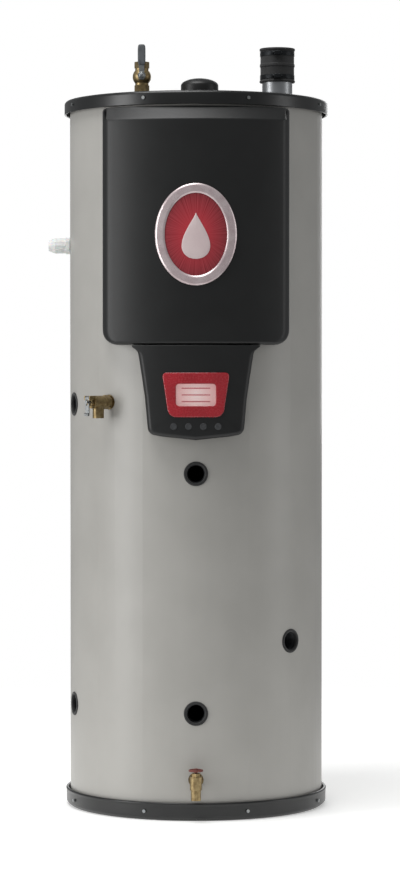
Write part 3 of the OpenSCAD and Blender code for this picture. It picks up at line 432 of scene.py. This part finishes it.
def clear_acrylic():
    """Cast acrylic window: clear and glossy with a trace of haze that varies slowly, as on a wiped lens."""
    material, tree, place = blank("clear_acrylic")
    haze = add(tree, "ShaderNodeTexNoise", {"Vector": place, "Scale": 1 / (20 * MM), "Detail": 3.0})
    dullness = add(tree, "ShaderNodeMapRange", {
        "Value": haze, "From Min": 0.3, "From Max": 0.7, "To Min": 0.02, "To Max": 0.07})
    glass = add(tree, "ShaderNodeBsdfPrincipled", {
        "Base Color": srgb("FBF3F2"), "IOR": 1.49, "Transmission Weight": 1.0, "Roughness": dullness})
    add(tree, "ShaderNodeOutputMaterial", {"Surface": glass})
    return material


def pale_floor():
    """Painted studio floor: near white with a barely visible mottle 400 mm wide, a little light of its own
    so that it meets the backdrop without a line, and gone by its rim."""
    material, tree, place = blank("pale_studio_floor")
    mottle = add(tree, "ShaderNodeTexNoise", {"Vector": place, "Scale": 1 / (400 * MM), "Detail": 3.0})
    paint = add(tree, "ShaderNodeMix", {SHARE: mottle, FIRST: srgb("F2F2F1"), SECOND: srgb("F7F7F6")},
                MIXED, data_type="RGBA")
    floor = add(tree, "ShaderNodeBsdfPrincipled", {
        "Base Color": paint, "Roughness": 0.8, "Specular IOR Level": 0.1, "Emission Color": paint,
        "Emission Strength": FLOOR_GLOW})
    away = add(tree, "ShaderNodeVectorMath", {0: place}, "Value", operation="LENGTH")
    gone = add(tree, "ShaderNodeMapRange", {
        "Value": away, "From Min": 0.35 * FLOOR_REACH, "From Max": 0.98 * FLOOR_REACH})
    clear = add(tree, "ShaderNodeBsdfTransparent", {})
    faded = add(tree, "ShaderNodeMixShader", {0: gone, 1: floor, 2: clear})
    add(tree, "ShaderNodeOutputMaterial", {"Surface": faded})
    return material


# ---------------------------------------------------------------- cover and console

def bowed(x, rise=0.0):
    """Depth of the bowed face at x: a cylinder of radius BOW_R + rise about the upright line y = BOW_Y."""
    return BOW_Y - np.sqrt((BOW_R + rise) ** 2 - x ** 2)


def on_bow(flat, rise):
    """Points of a flat outline laid on the bowed face and raised off it."""
    return np.stack([flat[:, 0], bowed(flat[:, 0], rise), flat[:, 1]], -1)


def seated(x):
    """Depth of the jacket's front at x, where mouldings rest on it."""
    return -np.sqrt(SEAT_R ** 2 - x ** 2)


def edge(chamfer, radius, wall):
    """Section of a moulded edge as (inset from the outline, drop behind the face): a wall, then a 45 degree
    chamfer whose two corners are rounded, then the face. A chamfer of 0.586 radius makes one quarter
    round."""
    reach = chamfer + radius
    return rounded([[0, wall], [0, chamfer], [chamfer, 0], [reach, 0]], [0, radius, radius, 0])


def cover_outline(side, top, bottom, thin):
    """Front outline of the cover, moved in by side, top and bottom: four elliptic corner arcs joined by
    straight sides."""
    low_r, top_r = 40 * MM, 14 * MM
    least = 1.5 * MM
    x, z0, z1 = COVER_HI.x - side - thin, COVER_LO.z + bottom + thin, COVER_HI.z - top - thin
    low = np.array([max(low_r - side - thin, least), max(low_r - bottom - thin, least)])
    high = np.array([max(top_r - side - thin, least), max(top_r - top - thin, least)])
    corner = np.linspace(0, math.pi / 2, 9)
    bend = np.stack([np.sin(corner), -np.cos(corner)], -1)
    low_arc = np.array([x - low[0], z0 + low[1]]) + bend * low
    high_arc = np.array([x - high[0], z1 - high[1]]) + np.stack([np.cos(corner), np.sin(corner)], -1) * high
    share = np.linspace(0, 1, 26)[1:-1, None]
    right = low_arc[-1] * (1 - share) + high_arc[0] * share
    over = high_arc[-1] * (1 - share) + high_arc[-1] * [-1, 1] * share
    under = low_arc[0] * [-1, 1] * (1 - share) + low_arc[0] * share
    mirror = [-1, 1]
    left = [(part * mirror)[::-1] for part in (high_arc, right, low_arc)]
    return np.concatenate([low_arc, right, high_arc, over, *left, under])


def cover_shares():
    """How far each outline point belongs to the side, top and bottom edge; corners blend from one to the
    next."""
    blend = smooth_step(np.linspace(0, 1, 9))
    flat = np.ones(24)
    top = np.concatenate([0 * blend, 0 * flat, blend, flat, blend[::-1], 0 * flat, 0 * blend, 0 * flat])
    bottom = np.concatenate([1 - blend, 0 * flat, 0 * blend, 0 * flat, 0 * blend, 0 * flat, blend, flat])
    return 1 - top - bottom, top, bottom


def cover_layer(thin):
    """One face of the cover's wall, moved in by thin: rings from the jacket forwards, round the edge and in
    to the middle of the face, where they close. Depth follows the bow, less the drop of the edge's
    section, which differs for the sides, the top and the bottom."""
    sections = [edge(chamfer * MM, radius * MM, wall * MM)
                for chamfer, radius, wall in ((12, 18, 34), (37, 8, 41), (6, 10, 30))]
    shares = cover_shares()
    rings = []
    for step in zip(*sections):
        inset = [point[0] for point in step]
        outline = cover_outline(*inset, thin)
        drop = sum(share * point[1] for share, point in zip(shares, step))
        rings.append(on_bow(outline, -thin - drop))
    foot = rings[0].copy()
    foot[:, 1] = seated(foot[:, 0])
    middle = np.array([0, (COVER_LO.z + COVER_HI.z) / 2])
    for size in np.linspace(1, 0, 15)[1:]:
        flat = middle + (outline - middle) * size
        rings.append(on_bow(flat, -thin))
    return np.stack([foot] + rings)


def front_cover():
    """The cover: an outer and an inner layer joined at the jacket, bosses for the studs, and three ribs."""
    outer, inner = cover_layer(0), cover_layer(WALL)
    parts = [skin(np.concatenate([outer[::-1], inner]), False, True)]
    stud_lo, stud_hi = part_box("cover_studs")
    inset = 7 * MM
    boss = rounded([[0, 0], [9, 0], [9.6, 8], [0, 8]], [0, 1.2, 0, 0]) * MM
    for x in (stud_lo.x + inset, stud_hi.x - inset):
        for z in (stud_lo.z + inset, stud_hi.z - inset):
            parts.append(laid(lathe(boss, 32, False), (x, stud_lo.y, z), (0, -1, 0)))
    for x in (-130 * MM, 0, 130 * MM):
        depth = 14 * MM
        back = float(bowed(np.array(x), -WALL)) + depth / 2 - 1 * MM
        size = (2.4 * MM, depth, COVER_HI.z - COVER_LO.z - 130 * MM)
        parts.append(block(size, (x, back, (COVER_LO.z + COVER_HI.z) / 2 - 25 * MM), 0.12, 16, 24))
    make("moulded_front_cover", parts, MOULDED_ABS, "cover", ["front_cover"])


def tapered(lo, hi, foot, radii, steps=10):
    """Upright outline narrower at its foot: top corners at the box's edge, lower ones at half width
    foot."""
    corners = [[hi.x, hi.z], [foot, lo.z], [-foot, lo.z], [-hi.x, hi.z]]
    line = rounded(corners, [radii[0], radii[1], radii[1], radii[0]], steps, True)
    return np.concatenate([line, line[:1]])


def matched(outline, centre, angle):
    """Points of an outline seen from centre at the given angles: its distance read off by angle."""
    points = outline[:-1] - centre
    seen = np.arctan2(points[:, 1], points[:, 0])
    order = np.argsort(seen)
    fine = np.linspace(0, 1, 12, endpoint=False)[:, None, None]
    ahead = np.roll(points[order], -1, axis=0)
    dense = (points[order] * (1 - fine) + ahead * fine).transpose(1, 0, 2).reshape(-1, 2)
    seen = np.unwrap(np.arctan2(dense[:, 1], dense[:, 0]))
    reach = np.interp(angle, seen, np.linalg.norm(dense, axis=1), period=TURN)
    return centre + reach[:, None] * np.stack([np.cos(angle), np.sin(angle)], -1)


def console_outline():
    """Front outline of the console: a flared top against the cover, tapering sides, a bowed lower edge."""
    top = CONSOLE_HI.z
    low = CONSOLE_LO.z
    side = [[176 * MM, top], [172 * MM, top - 5 * MM], [157 * MM, top - 16 * MM], [146 * MM, top - 86 * MM],
            [138 * MM, top - 141 * MM], [129 * MM, low + 16 * MM], [88 * MM, low + 9 * MM]]
    radii = [2 * MM, 3 * MM, 22 * MM, 90 * MM, 90 * MM, 22 * MM, 120 * MM]
    ends = [[0, top]] + side + [[0, low]]
    half = rounded(ends, [0] + radii + [0], 8)
    run = np.concatenate([[0], np.cumsum(np.linalg.norm(np.diff(half, axis=0), axis=1))])
    extra = np.linspace(0, run[-1], 70)
    where = np.unique(np.round(np.concatenate([run, extra]), 4))
    half = np.stack([np.interp(where, run, half[:, i]) for i in (0, 1)], -1)
    return np.concatenate([half, (half[1:-1] * [-1, 1])[::-1]])


def console_layer(outline, opening, thin):
    """One face of the console's wall: rings from the jacket round the edge and in to the display opening.
    The edge's section shrinks to nothing near the cover, where the console ends square."""
    ahead = np.roll(outline, -1, axis=0) - np.roll(outline, 1, axis=0)
    inward = np.stack([ahead[:, 1], -ahead[:, 0]], -1) / np.linalg.norm(ahead, axis=1)[:, None]
    size = smooth_step((CONSOLE_HI.z - outline[:, 1]) / (34 * MM)) * 0.92 + 0.08
    rings = []
    for inset, drop in edge(7 * MM, 12 * MM, 26 * MM):
        flat = outline + inward * ((inset + thin) * size)[:, None]
        rings.append(on_bow(flat, -thin - drop * size))
    foot = rings[0].copy()
    foot[:, 1] = seated(foot[:, 0])
    for share in np.linspace(0, 1, 10)[1:]:
        rings.append(on_bow(flat * (1 - share) + opening * share, -thin))
    return np.stack([foot] + rings)


def console():
    """The console's housing: two layers joined at the jacket and round the display opening."""
    outline = console_outline()
    centre = np.array([0, (BEZEL_LO.z + BEZEL_HI.z) / 2])
    angle = np.arctan2(outline[:, 1] - centre[1], outline[:, 0])
    lip = 5 * MM
    low, high = BEZEL_LO + Vector((lip, 0, lip)), BEZEL_HI - Vector((lip, 0, lip))
    opening = matched(tapered(low, high, BEZEL_FOOT - lip, (8 * MM, 20 * MM)), centre, angle)
    outer, inner = console_layer(outline, opening, 0), console_layer(outline, opening, WALL)
    make("moulded_console", [skin(np.concatenate([outer[::-1], inner]))], MOULDED_ABS, "cabinet",
         ["console_housing"])


def display():
    """Surround, pane and screen. The surround is one ring whose section rounds over at the outside and dips
    into the window; the pane is thin and bowed with a rounded rim; the screen lies behind it."""
    centre = np.array([0, (BEZEL_LO.z + BEZEL_HI.z) / 2])
    angle = np.linspace(0, TURN, 160, endpoint=False)
    outside = matched(tapered(BEZEL_LO, BEZEL_HI, BEZEL_FOOT, (10 * MM, 24 * MM)), centre, angle)
    half_w, half_h = WINDOW_HI.x, (WINDOW_HI.z - WINDOW_LO.z) / 2
    hole = matched(tapered(WINDOW_LO, WINDOW_HI, half_w, (8 * MM, 8 * MM)), centre, angle)
    reach = outside - hole
    length = np.linalg.norm(reach, axis=1)[:, None]
    rings = []
    for inset, rise in [(0, 0.1), (0, 1.5), (0.3, 2.6), (0.9, 3.4), (1.8, 3.85), (2.8, 4.0)]:
        flat = outside - reach / length * inset * MM
        rings.append(on_bow(flat, rise * MM))
    brink = hole + reach / length * 2 * MM
    for share in np.linspace(0, 1, 7)[1:]:
        rings.append(on_bow(flat * (1 - share) + brink * share, 4 * MM))
    for outset, rise in [(1.2, 3.8), (0.5, 3.3), (0.1, 2.4), (0.1, -5.5)]:
        rings.append(on_bow(hole + reach / length * outset * MM, rise * MM))
    flat = outside - reach / length * 6 * MM
    for rise in (-5.5, 0.1):
        rings.append(on_bow(flat, rise * MM))
    make("display_surround", [skin(np.stack(rings))], RED_OVERLAY, "cabinet", ["display_bezel"])
    pane = [(1, -3.8), (1, 1.0), (0.985, 1.5), (0.96, 1.8)] + [(s, 1.8) for s in (0.8, 0.6, 0.4, 0.2, 0)]
    back = [(s, -3.8) for s in (0, 0.3, 0.6, 0.9)]
    sheets = [on_bow(centre + (hole - centre) * size, rise * MM) for size, rise in back + pane]
    make("display_pane", [skin(np.stack(sheets), False)], clear_acrylic(), "cabinet", ["display_window"])
    screen = [(0, -4.4), (0.5, -4.4), (0.99, -4.4), (0.99, -5.4), (0.5, -5.4), (0, -5.4)]
    sheets = [on_bow(centre + (hole - centre) * size, rise * MM) for size, rise in screen]
    make("display_screen", [skin(np.stack(sheets), False)], lit_screen(), "cabinet", ())


def keys():
    """Round keys: a dished cap with a rounded rim on a straight skirt, carried round the key's own axis."""
    cap = rounded([[0, 0.6], [5, 0.3], [7.2, 0], [9, 0], [9, 13], [0, 13]], [0, 6, 1, 1.2, 0, 0])
    for name in ("menu", "down", "up", "enter"):
        low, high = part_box("key_" + name)
        middle = (low + high) / 2
        part = laid(lathe(cap * MM, 48, False), (middle.x, low.y, middle.z), (0, 1, 0))
        make("silicone_key_" + name, [part], SILICONE, name + "_key", ["key_" + name])


# ---------------------------------------------------------------- badge

def badge():
    """Badge on the bow: a rim whose domed section is carried round an oval, a crowned enamel field, and a
    raised drop whose half width is sin(t) * sin(t / 2)^p along its height."""
    centre_z = (RIM_LO.z + RIM_HI.z) / 2
    half_w, half_h = RIM_HI.x, (RIM_HI.z - RIM_LO.z) / 2
    width = half_w - FIELD_HI.x
    angle = np.linspace(0, TURN, 144, endpoint=False)
    round_ = np.stack([np.cos(angle), np.sin(angle)], -1)
    wide = width / MM
    section = rounded([[0, 0.1], [0, 3.2], [5, 6], [wide - 5, 6], [wide, 2.6], [wide, 0.1]],
                      [0, 2.2, 6, 6, 1.6, 0])
    rings = []
    for inset, rise in section * MM:
        rings.append(on_bow(round_ * [half_w - inset, half_h - inset] + [0, centre_z], rise))
    make("badge_border", [skin(np.stack(rings))], SILVER_LACQUER, "cover", ["badge_rim"])
    field = np.array([half_w, half_h]) - width - 0.3 * MM
    rings = [on_bow(round_ * 0 + [0, centre_z], 0.1 * MM)]
    for size in np.linspace(1, 0, 24):
        crown = 1.4 + 2.0 * (1 - size ** 2)
        rings.append(on_bow(round_ * size * field + [0, centre_z], crown * MM))
    make("badge_enamel", [skin(np.stack(rings), False)], red_enamel_field(), "cover", ["badge_field"])
    turn = np.linspace(0, TURN, 96, endpoint=False)
    drop_w, drop_h = 0.52 * (half_w - width), 0.56 * (half_h - width)
    drop = np.stack([drop_w * 1.25 * np.sin(turn) * np.sin(turn / 2) ** 1.5, drop_h * np.cos(turn)], -1)
    dome = [(0, 2.6), (1, 2.4), (1, 3.6), (0.96, 4.1), (0.88, 4.5), (0.6, 4.9), (0.3, 5.1), (0, 5.2)]
    rings = [on_bow(drop * size + [0, centre_z - 4 * MM], rise * MM) for size, rise in dome]
    make("badge_drop", [skin(np.stack(rings), False)], PALE_LACQUER, "cover", ())


# ---------------------------------------------------------------- base and cap

def base_and_cap():
    """Pressed base pan and top cap: closed sections carried round the jacket's axis. The pan has a rolled
    bead at its lip; the cap has a round shoulder, a turned-down skirt with a hemmed edge, and a collar at
    each hole."""
    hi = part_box("base_pan")[1]
    edge_r, top = hi.x / MM, hi.z / MM
    bead = 4.5
    turn = np.linspace(0, math.pi, 13)
    roll = np.stack([edge_r - bead + bead * np.cos(turn), top - bead + bead * np.sin(turn)], -1)
    outer = rounded([[0, 0], [edge_r - 14, 0], [edge_r - 1.6, 9], [edge_r - 1.2, top - bead - 5],
                     [edge_r, top - bead]], [0, 10, 9, 5, 0])
    inner = rounded([[edge_r - 2 * bead, top - bead], [edge_r - 2 * bead + 3, top - bead - 4],
                     [edge_r - 6, 12], [edge_r - 15, 3], [0, 3]], [0, 2, 8, 6, 0])
    pan = np.concatenate([outer, roll[1:-1], inner])
    make("pressed_base_pan", [lathe(pan * MM, 240, False)], BLACK_ENAMEL, "cabinet", ["base_pan"])
    lo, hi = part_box("top_cap")
    edge_r, top, low = hi.x / MM, hi.z / MM, lo.z / MM
    outside = rounded([[0, top], [edge_r - 22, top], [edge_r - 0.2, top - 1], [edge_r, low],
                       [edge_r - 5, low], [edge_r - 4.6, low + 8], [edge_r - 3.4, top - 8],
                       [edge_r - 12, top - 2.6], [0, top - 2.6]], [0, 60, 9, 2.4, 2.4, 1, 4, 4, 0], 8)
    parts = [lathe(outside * MM, 240, False)]
    for node in ("gas_pipe", "vent_pipe"):
        pipe_lo, pipe_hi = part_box(node)
        hole = (pipe_hi.x - pipe_lo.x) / 2 / MM
        collar = rounded([[hole + 0.3, -1], [hole + 0.3, 4.5], [hole + 2.4, 4.5], [hole + 3.4, 0.6],
                          [hole + 9, -1]], [0, 1, 1, 2, 0])
        middle = (pipe_lo + pipe_hi) / 2
        parts.append(laid(lathe(collar * MM, 72), (middle.x, middle.y, hi.z)))
    make("pressed_top_cap", parts, BLACK_ENAMEL, "cabinet", ["top_cap"])


# ---------------------------------------------------------------- ports

def on_wall(bearing, height, across, up, out):
    """Points wrapped on the jacket: across is measured round it from the bearing, up from the height, out
    from its surface."""
    angle = bearing + across / JACKET_R
    radius = JACKET_R + out
    return np.stack([radius * np.sin(angle), -radius * np.cos(angle), height + up], -1)


def ports():
    """Rubber rings that follow the jacket's curve, and the threaded steel sockets behind them. The thread is
    a triangle wave of one pitch a turn, cut into the bore."""
    section = rounded([[25.2, -6.5], [25.2, 1.2], [27.5, 3.4], [31.5, 3.2], [33.4, 0.2], [29.8, 0.2],
                       [29.8, -6.5]], [1, 2, 2.4, 1.6, 0.3, 0.3, 1], 5, True) * MM
    angle = np.linspace(0, TURN, 96, endpoint=False)[:, None]
    rings, sockets = [], []
    spud_in, spud_out, spud_r = 312 * MM, JACKET_R - 8 * MM, 29 * MM
    pitch, cut = 2.2 * MM, 1.1 * MM
    for name, mount in MOUNTS.items():
        if not name.startswith("port_"):
            continue
        axis = Vector(mount["axis"])
        bearing = math.atan2(axis.x, -axis.y)
        height = mount["pos_m"][2]
        ring = on_wall(bearing, height, section[:, 0] * np.cos(angle), section[:, 0] * np.sin(angle),
                       section[:, 1] + 0 * angle)
        rings.append(skin(ring))
        bore_r = mount["dims"]["r_mm"] * MM
        path = rounded([[spud_r, spud_in], [spud_r, spud_out], [bore_r, spud_out]],
                       [0, 1.5 * MM, 2.5 * MM], 4)[:-1]
        length = np.linspace(spud_out - 2.5 * MM, spud_in, 97)
        bore = np.stack([np.full_like(length, bore_r), length], -1)
        profile = np.concatenate([path, bore])
        threaded = np.concatenate([np.zeros(len(path)), np.ones(len(bore))])
        threaded[-1] = 0
        wave = np.abs((profile[:, 1] / pitch - angle / TURN) % 1 - 0.5) * 2
        radius = profile[:, 0] + threaded * cut * wave
        grid = np.stack([radius * np.cos(angle), radius * np.sin(angle), profile[:, 1] + 0 * angle], -1)
        sockets.append(laid(skin(grid), (0, 0, height), axis))
    make("rubber_port_rings", rings, EPDM_RUBBER, "cabinet", ["port_grommets"])
    # The sockets' near-black colour holds painted shade of the bore as well as the phosphate's own dark grey
    make("threaded_sockets", sockets, PHOSPHATE_AND_SHADE, "cabinet", ["tank_spuds"])


# ---------------------------------------------------------------- top fittings

def vent_and_intake():
    """Rubber vent sleeve with beaded ends and a middle rib, worm-drive clamps, and the intake's dome on its
    legs."""
    lo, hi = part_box("vent_sleeve")
    centre = (lo + hi) / 2
    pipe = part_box("vent_pipe")
    bore = (pipe[1].x - pipe[0].x) / 2 + 0.3 * MM
    tall = (hi.z - lo.z) / MM
    r = (hi.x - lo.x) / 2 / MM
    mid = tall / 2
    corners = [[bore / MM, 0], [r, 0], [r, 6], [r - 2.4, 7.5], [r - 2.4, mid - 5], [r - 0.8, mid - 3],
               [r - 0.8, mid + 3], [r - 2.4, mid + 5], [r - 2.4, tall - 7.5], [r, tall - 6], [r, tall],
               [bore / MM, tall]]
    radii = [1.2, 2, 2, 1.4, 1, 1, 1, 1, 1.4, 2, 2, 1.6]
    sleeve = lathe(rounded(corners, radii, 5, True) * MM, 128)
    make("rubber_vent_sleeve", [laid(sleeve, (centre.x, centre.y, lo.z))], EPDM_RUBBER, "cabinet",
         ["vent_sleeve"])
    clamp_lo, clamp_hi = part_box("vent_clamps")
    band_r = r - 2.3
    band = rounded([[band_r, 0], [band_r + 1.1, 0], [band_r + 1.1, 12], [band_r, 12]], [0.3] * 4, 3, True)
    parts = []
    for z in (clamp_lo.z, clamp_hi.z - 12 * MM):
        parts.append(laid(lathe(band * MM, 128), (centre.x, centre.y, z)))
        face = clamp_lo.y + 6 * MM
        parts.append(block((20 * MM, 9 * MM, 13 * MM), (centre.x, face + 0.5 * MM, z + 6 * MM), 0.3))
        screw = rounded([[0, 0], [4.2, 0], [4.2, 7], [2.6, 8], [2.6, 28], [0, 28]],
                        [0, 0.8, 0.5, 0.5, 0.5, 0]) * MM
        parts.append(laid(lathe(screw, 24, False), (centre.x - 15 * MM, face, z + 6 * MM), (1, 0, 0)))
    make("worm_drive_clamps", parts, BLACKENED, "cabinet", ["vent_clamps"])
    lo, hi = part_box("intake_hood")
    centre = (lo + hi) / 2
    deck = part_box("top_cap")[1].z
    collar = rounded([[39, -40], [39, 32], [42, 32], [42, 3], [56, 2.6], [56, 0.1], [42, 0.1], [42, -40]],
                     [0.5, 1.4, 1.4, 5, 1.2, 0.3, 0.3, 0.5], 5, True)
    turn = np.linspace(0, 1, 20)
    crown = np.stack([53 * np.sin(turn * math.pi / 2), 47 + 21 * np.cos(turn * math.pi / 2)], -1)
    under = np.stack([50 * np.sin(turn * math.pi / 2), 46 + 19 * np.cos(turn * math.pi / 2)], -1)[::-1]
    skirt = rounded([[53, 47], [53, 27], [50, 27], [50, 46]], [0, 1.2, 1.2, 0], 4)
    dome = np.concatenate([crown[:-1], skirt, under[1:]])
    parts = [lathe(collar * MM, 96), lathe(dome * MM, 96, False)]
    for step in range(6):
        bearing = step * TURN / 6
        leg = block((11 * MM, 3 * MM, 42 * MM), (0, 0, 0), 0.15, 12, 24)
        out = (46 * MM * math.cos(bearing), 46 * MM * math.sin(bearing), 23 * MM)
        parts.append(laid(leg, out, (0, 0, 1), (math.cos(bearing), math.sin(bearing), 0)))
    parts = [laid(part, (centre.x, centre.y, deck)) for part in parts]
    make("domed_air_intake", parts, MOULDED_ABS, "cabinet", ["intake_hood"])


def gas_lever():
    """Lever of the gas cock: a flat steel arm under a nut, its upper half dipped in vinyl."""
    lo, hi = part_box("gas_cock_handle")
    x = (lo.x + hi.x) / 2
    face = lo.y
    arm_z = lo.z + 11 * MM
    arm = block((15 * MM, 3.4 * MM, 78 * MM), (x, face + 10.5 * MM, arm_z + 28 * MM), 0.1, 16, 32)
    grip = block((22 * MM, 9.5 * MM, 58 * MM), (x, face + 10.4 * MM, hi.z - 29 * MM), 0.42, 32, 48)
    hub = laid(lathe(rounded([[0, 0], [11, 0], [11, 4], [0, 4]], [0, 1, 1, 0]) * MM, 40, False),
               (x, face + 8 * MM, arm_z), (0, 1, 0))
    flats = rounded([[0, 0], [6.4, 0], [8, 1.2], [8, 6], [0, 6]], [0, 0.6, 0.6, 0, 0])
    nut = laid(lathe(flats * MM, 6, False), (x, face + 0.4 * MM, arm_z), (0, 1, 0))
    tip = laid(lathe(rounded([[0, 0], [4.2, 0], [4.2, 8], [0, 8]], [0, 1, 0, 0]) * MM, 24, False),
               (x, face, arm_z), (0, 1, 0))
    make("gas_lever_arm", [arm, hub, nut, tip], ZINC_PLATE, "gas_lever", ())
    make("gas_lever_grip", [grip], VINYL, "gas_lever", ["gas_cock_handle"])


def cable_gland():
    """Nylon cable gland: a hexagon against the jacket and a domed nut whose 12 grip ribs add the root of a
    cosine to its radius, tapering to the sealing mouth."""
    mount = MOUNTS["power_entry"]
    axis = Vector(mount["axis"])
    origin = axis * JACKET_R
    origin.z = mount["pos_m"][2]
    hexagon = rounded([[9, -12], [16, -12], [16, 0.4], [23.5, 0.4], [23.5, 13], [9, 13]],
                      [1, 0.5, 0.3, 1.6, 1.6, 0], 4, True)
    angle = np.linspace(0, TURN, 144, endpoint=False)[:, None]
    nut = rounded([[9, 12.4], [20.5, 12.4], [20.8, 42], [14.8, 61], [9, 61]], [0, 1, 5, 3, 2], 6, True)
    ribs = 0.9 * np.maximum(np.cos(12 * angle), 0) ** 0.5 * ((nut[:, 0] > 18) & (nut[:, 1] < 44))
    radius = (nut[:, 0] + ribs) * MM
    dome = np.stack([radius * np.cos(angle), radius * np.sin(angle), nut[:, 1] * MM + 0 * angle], -1)
    parts = [laid(lathe(hexagon * MM, 6), origin, axis), laid(skin(dome), origin, axis)]
    make("nylon_cable_gland", parts, PALE_NYLON, "cabinet", ["power_gland"])


front_cover()
console()
display()
keys()
badge()
base_and_cap()
ports()
vent_and_intake()
gas_lever()
cable_gland()

# Finishes of the CAD pieces that keep their own shape
board_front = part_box("control_board")[1].y - 11.7 * MM
display_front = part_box("display_board")[1].y - 1.7 * MM
FINISHES = {
    POWDER_COAT: ["jacket"],
    ZINC_PLATE: ["jacket_screws", "cover_studs", "tp_stem", "tp_lever", "gas_cock_ball",
                 "temperature_probes"],
    GLASS_NYLON: ["stud_clips", "blower_housing", "flue_collector"],
    CAST_BRASS: ["tp_body", "drain_body", "gas_cock_body", "small_spuds"],
    EPDM_RUBBER: ["drain_washer"],
    HAND_RED: ["drain_handwheel"],
    BLACK_IRON: ["gas_pipe", "tank_skirt"],
    STAINLESS: ["heat_exchanger", "vent_pipe"],
    MILL_SCALE: ["tank_shell", "tank_head_top", "tank_head_bottom"],
    GALVANISED: ["deck_plate", "blower_wheel", "anode_rod"],
    WHITE_PVC: ["condensate_pipe", "inlet_diffuser"],
    FOAM: ["insulation"],
    CAST_ALUMINIUM: ["burner_door", "gas_control"],
    TEMPERED: ["burner_tube"],
    PORCELAIN: ["electrodes"],
    MOTOR_ENAMEL: ["blower_motor"],
    CAST_IRON: ["pump_body"],
    RED_ENAMEL: ["pump_motor"],
    AMBER_PLASTIC: ["pump_impeller"],
    COPPER: ["water_pipes"],
    GREY_PAINT: ["control_box"],
    circuit_board("green_circuit_board", board_front): ["control_board"],
    circuit_board("green_display_board", display_front): ["display_board"],
}
for material, names in FINISHES.items():
    for name in names:
        node = frame["nodes"][name]
        for place in node.material_slots:
            place.material = material


# ---------------------------------------------------------------- studio

def aimed(thing, place, target):
    """Puts a camera or light at a place, looking at target."""
    thing.location = place
    thing.rotation_euler = (Vector(target) - Vector(place)).to_track_quat("-Z", "Y").to_euler()
    bpy.context.scene.collection.objects.link(thing)
    return thing


def studio():
    """Pale floor, soft lights and the camera: a tall softbox at the left, a large one overhead, a weak one
    at the right and one behind."""
    lo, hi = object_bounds()
    middle = (hi.z + lo.z) / 2
    mesh = bpy.data.meshes.new("floor")
    rim = np.linspace(0, TURN, 96, endpoint=False)
    points = np.stack([FLOOR_REACH * np.cos(rim), FLOOR_REACH * np.sin(rim), lo.z + 0 * rim], -1)
    mesh.from_pydata(points.tolist(), [], [tuple(range(len(rim)))])
    mesh.materials.append(pale_floor())
    floor = bpy.data.objects.new("studio_floor", mesh)
    bpy.context.scene.collection.objects.link(floor)
    lights = [
        ("left_softbox", (-3.9, -1.9, 1.6), 1.4, 3.4, 90),
        ("overhead_softbox", (-0.9, -1.2, 5.1), 2.6, 2.6, 128),
        ("right_softbox", (4.2, -0.8, 1.6), 1.0, 3.2, 22),
        ("rear_softbox", (0.5, 4.5, 2.4), 3.0, 3.0, 75),
    ]
    for name, place, width, height, power in lights:
        light = bpy.data.lights.new(name, "AREA")
        light.shape = "RECTANGLE"
        light.size, light.size_y, light.energy = width, height, power
        aimed(bpy.data.objects.new(name, light), place, (0, 0, middle))
    world = bpy.data.worlds.new("studio_world")
    world.use_nodes = True
    tree = world.node_tree
    tree.nodes.clear()
    seen = add(tree, "ShaderNodeBackground", {"Color": (1, 1, 1, 1), "Strength": 1.0})
    lit = add(tree, "ShaderNodeBackground", {"Color": (0.97, 0.985, 1, 1), "Strength": 0.27})
    ray = add(tree, "ShaderNodeLightPath", {}, "Is Camera Ray")
    shared = add(tree, "ShaderNodeMixShader", {0: ray, 1: lit, 2: seen})
    add(tree, "ShaderNodeOutputWorld", {"Surface": shared})
    bpy.context.scene.world = world
    bpy.context.scene.view_settings.view_transform = "Standard"
    eye = bpy.data.cameras.new("camera")
    eye.sensor_width = SENSOR_WIDTH
    eye.lens = LENS
    camera = aimed(bpy.data.objects.new("camera", eye), EYE, AIM)
    bpy.context.scene.camera = camera


studio()
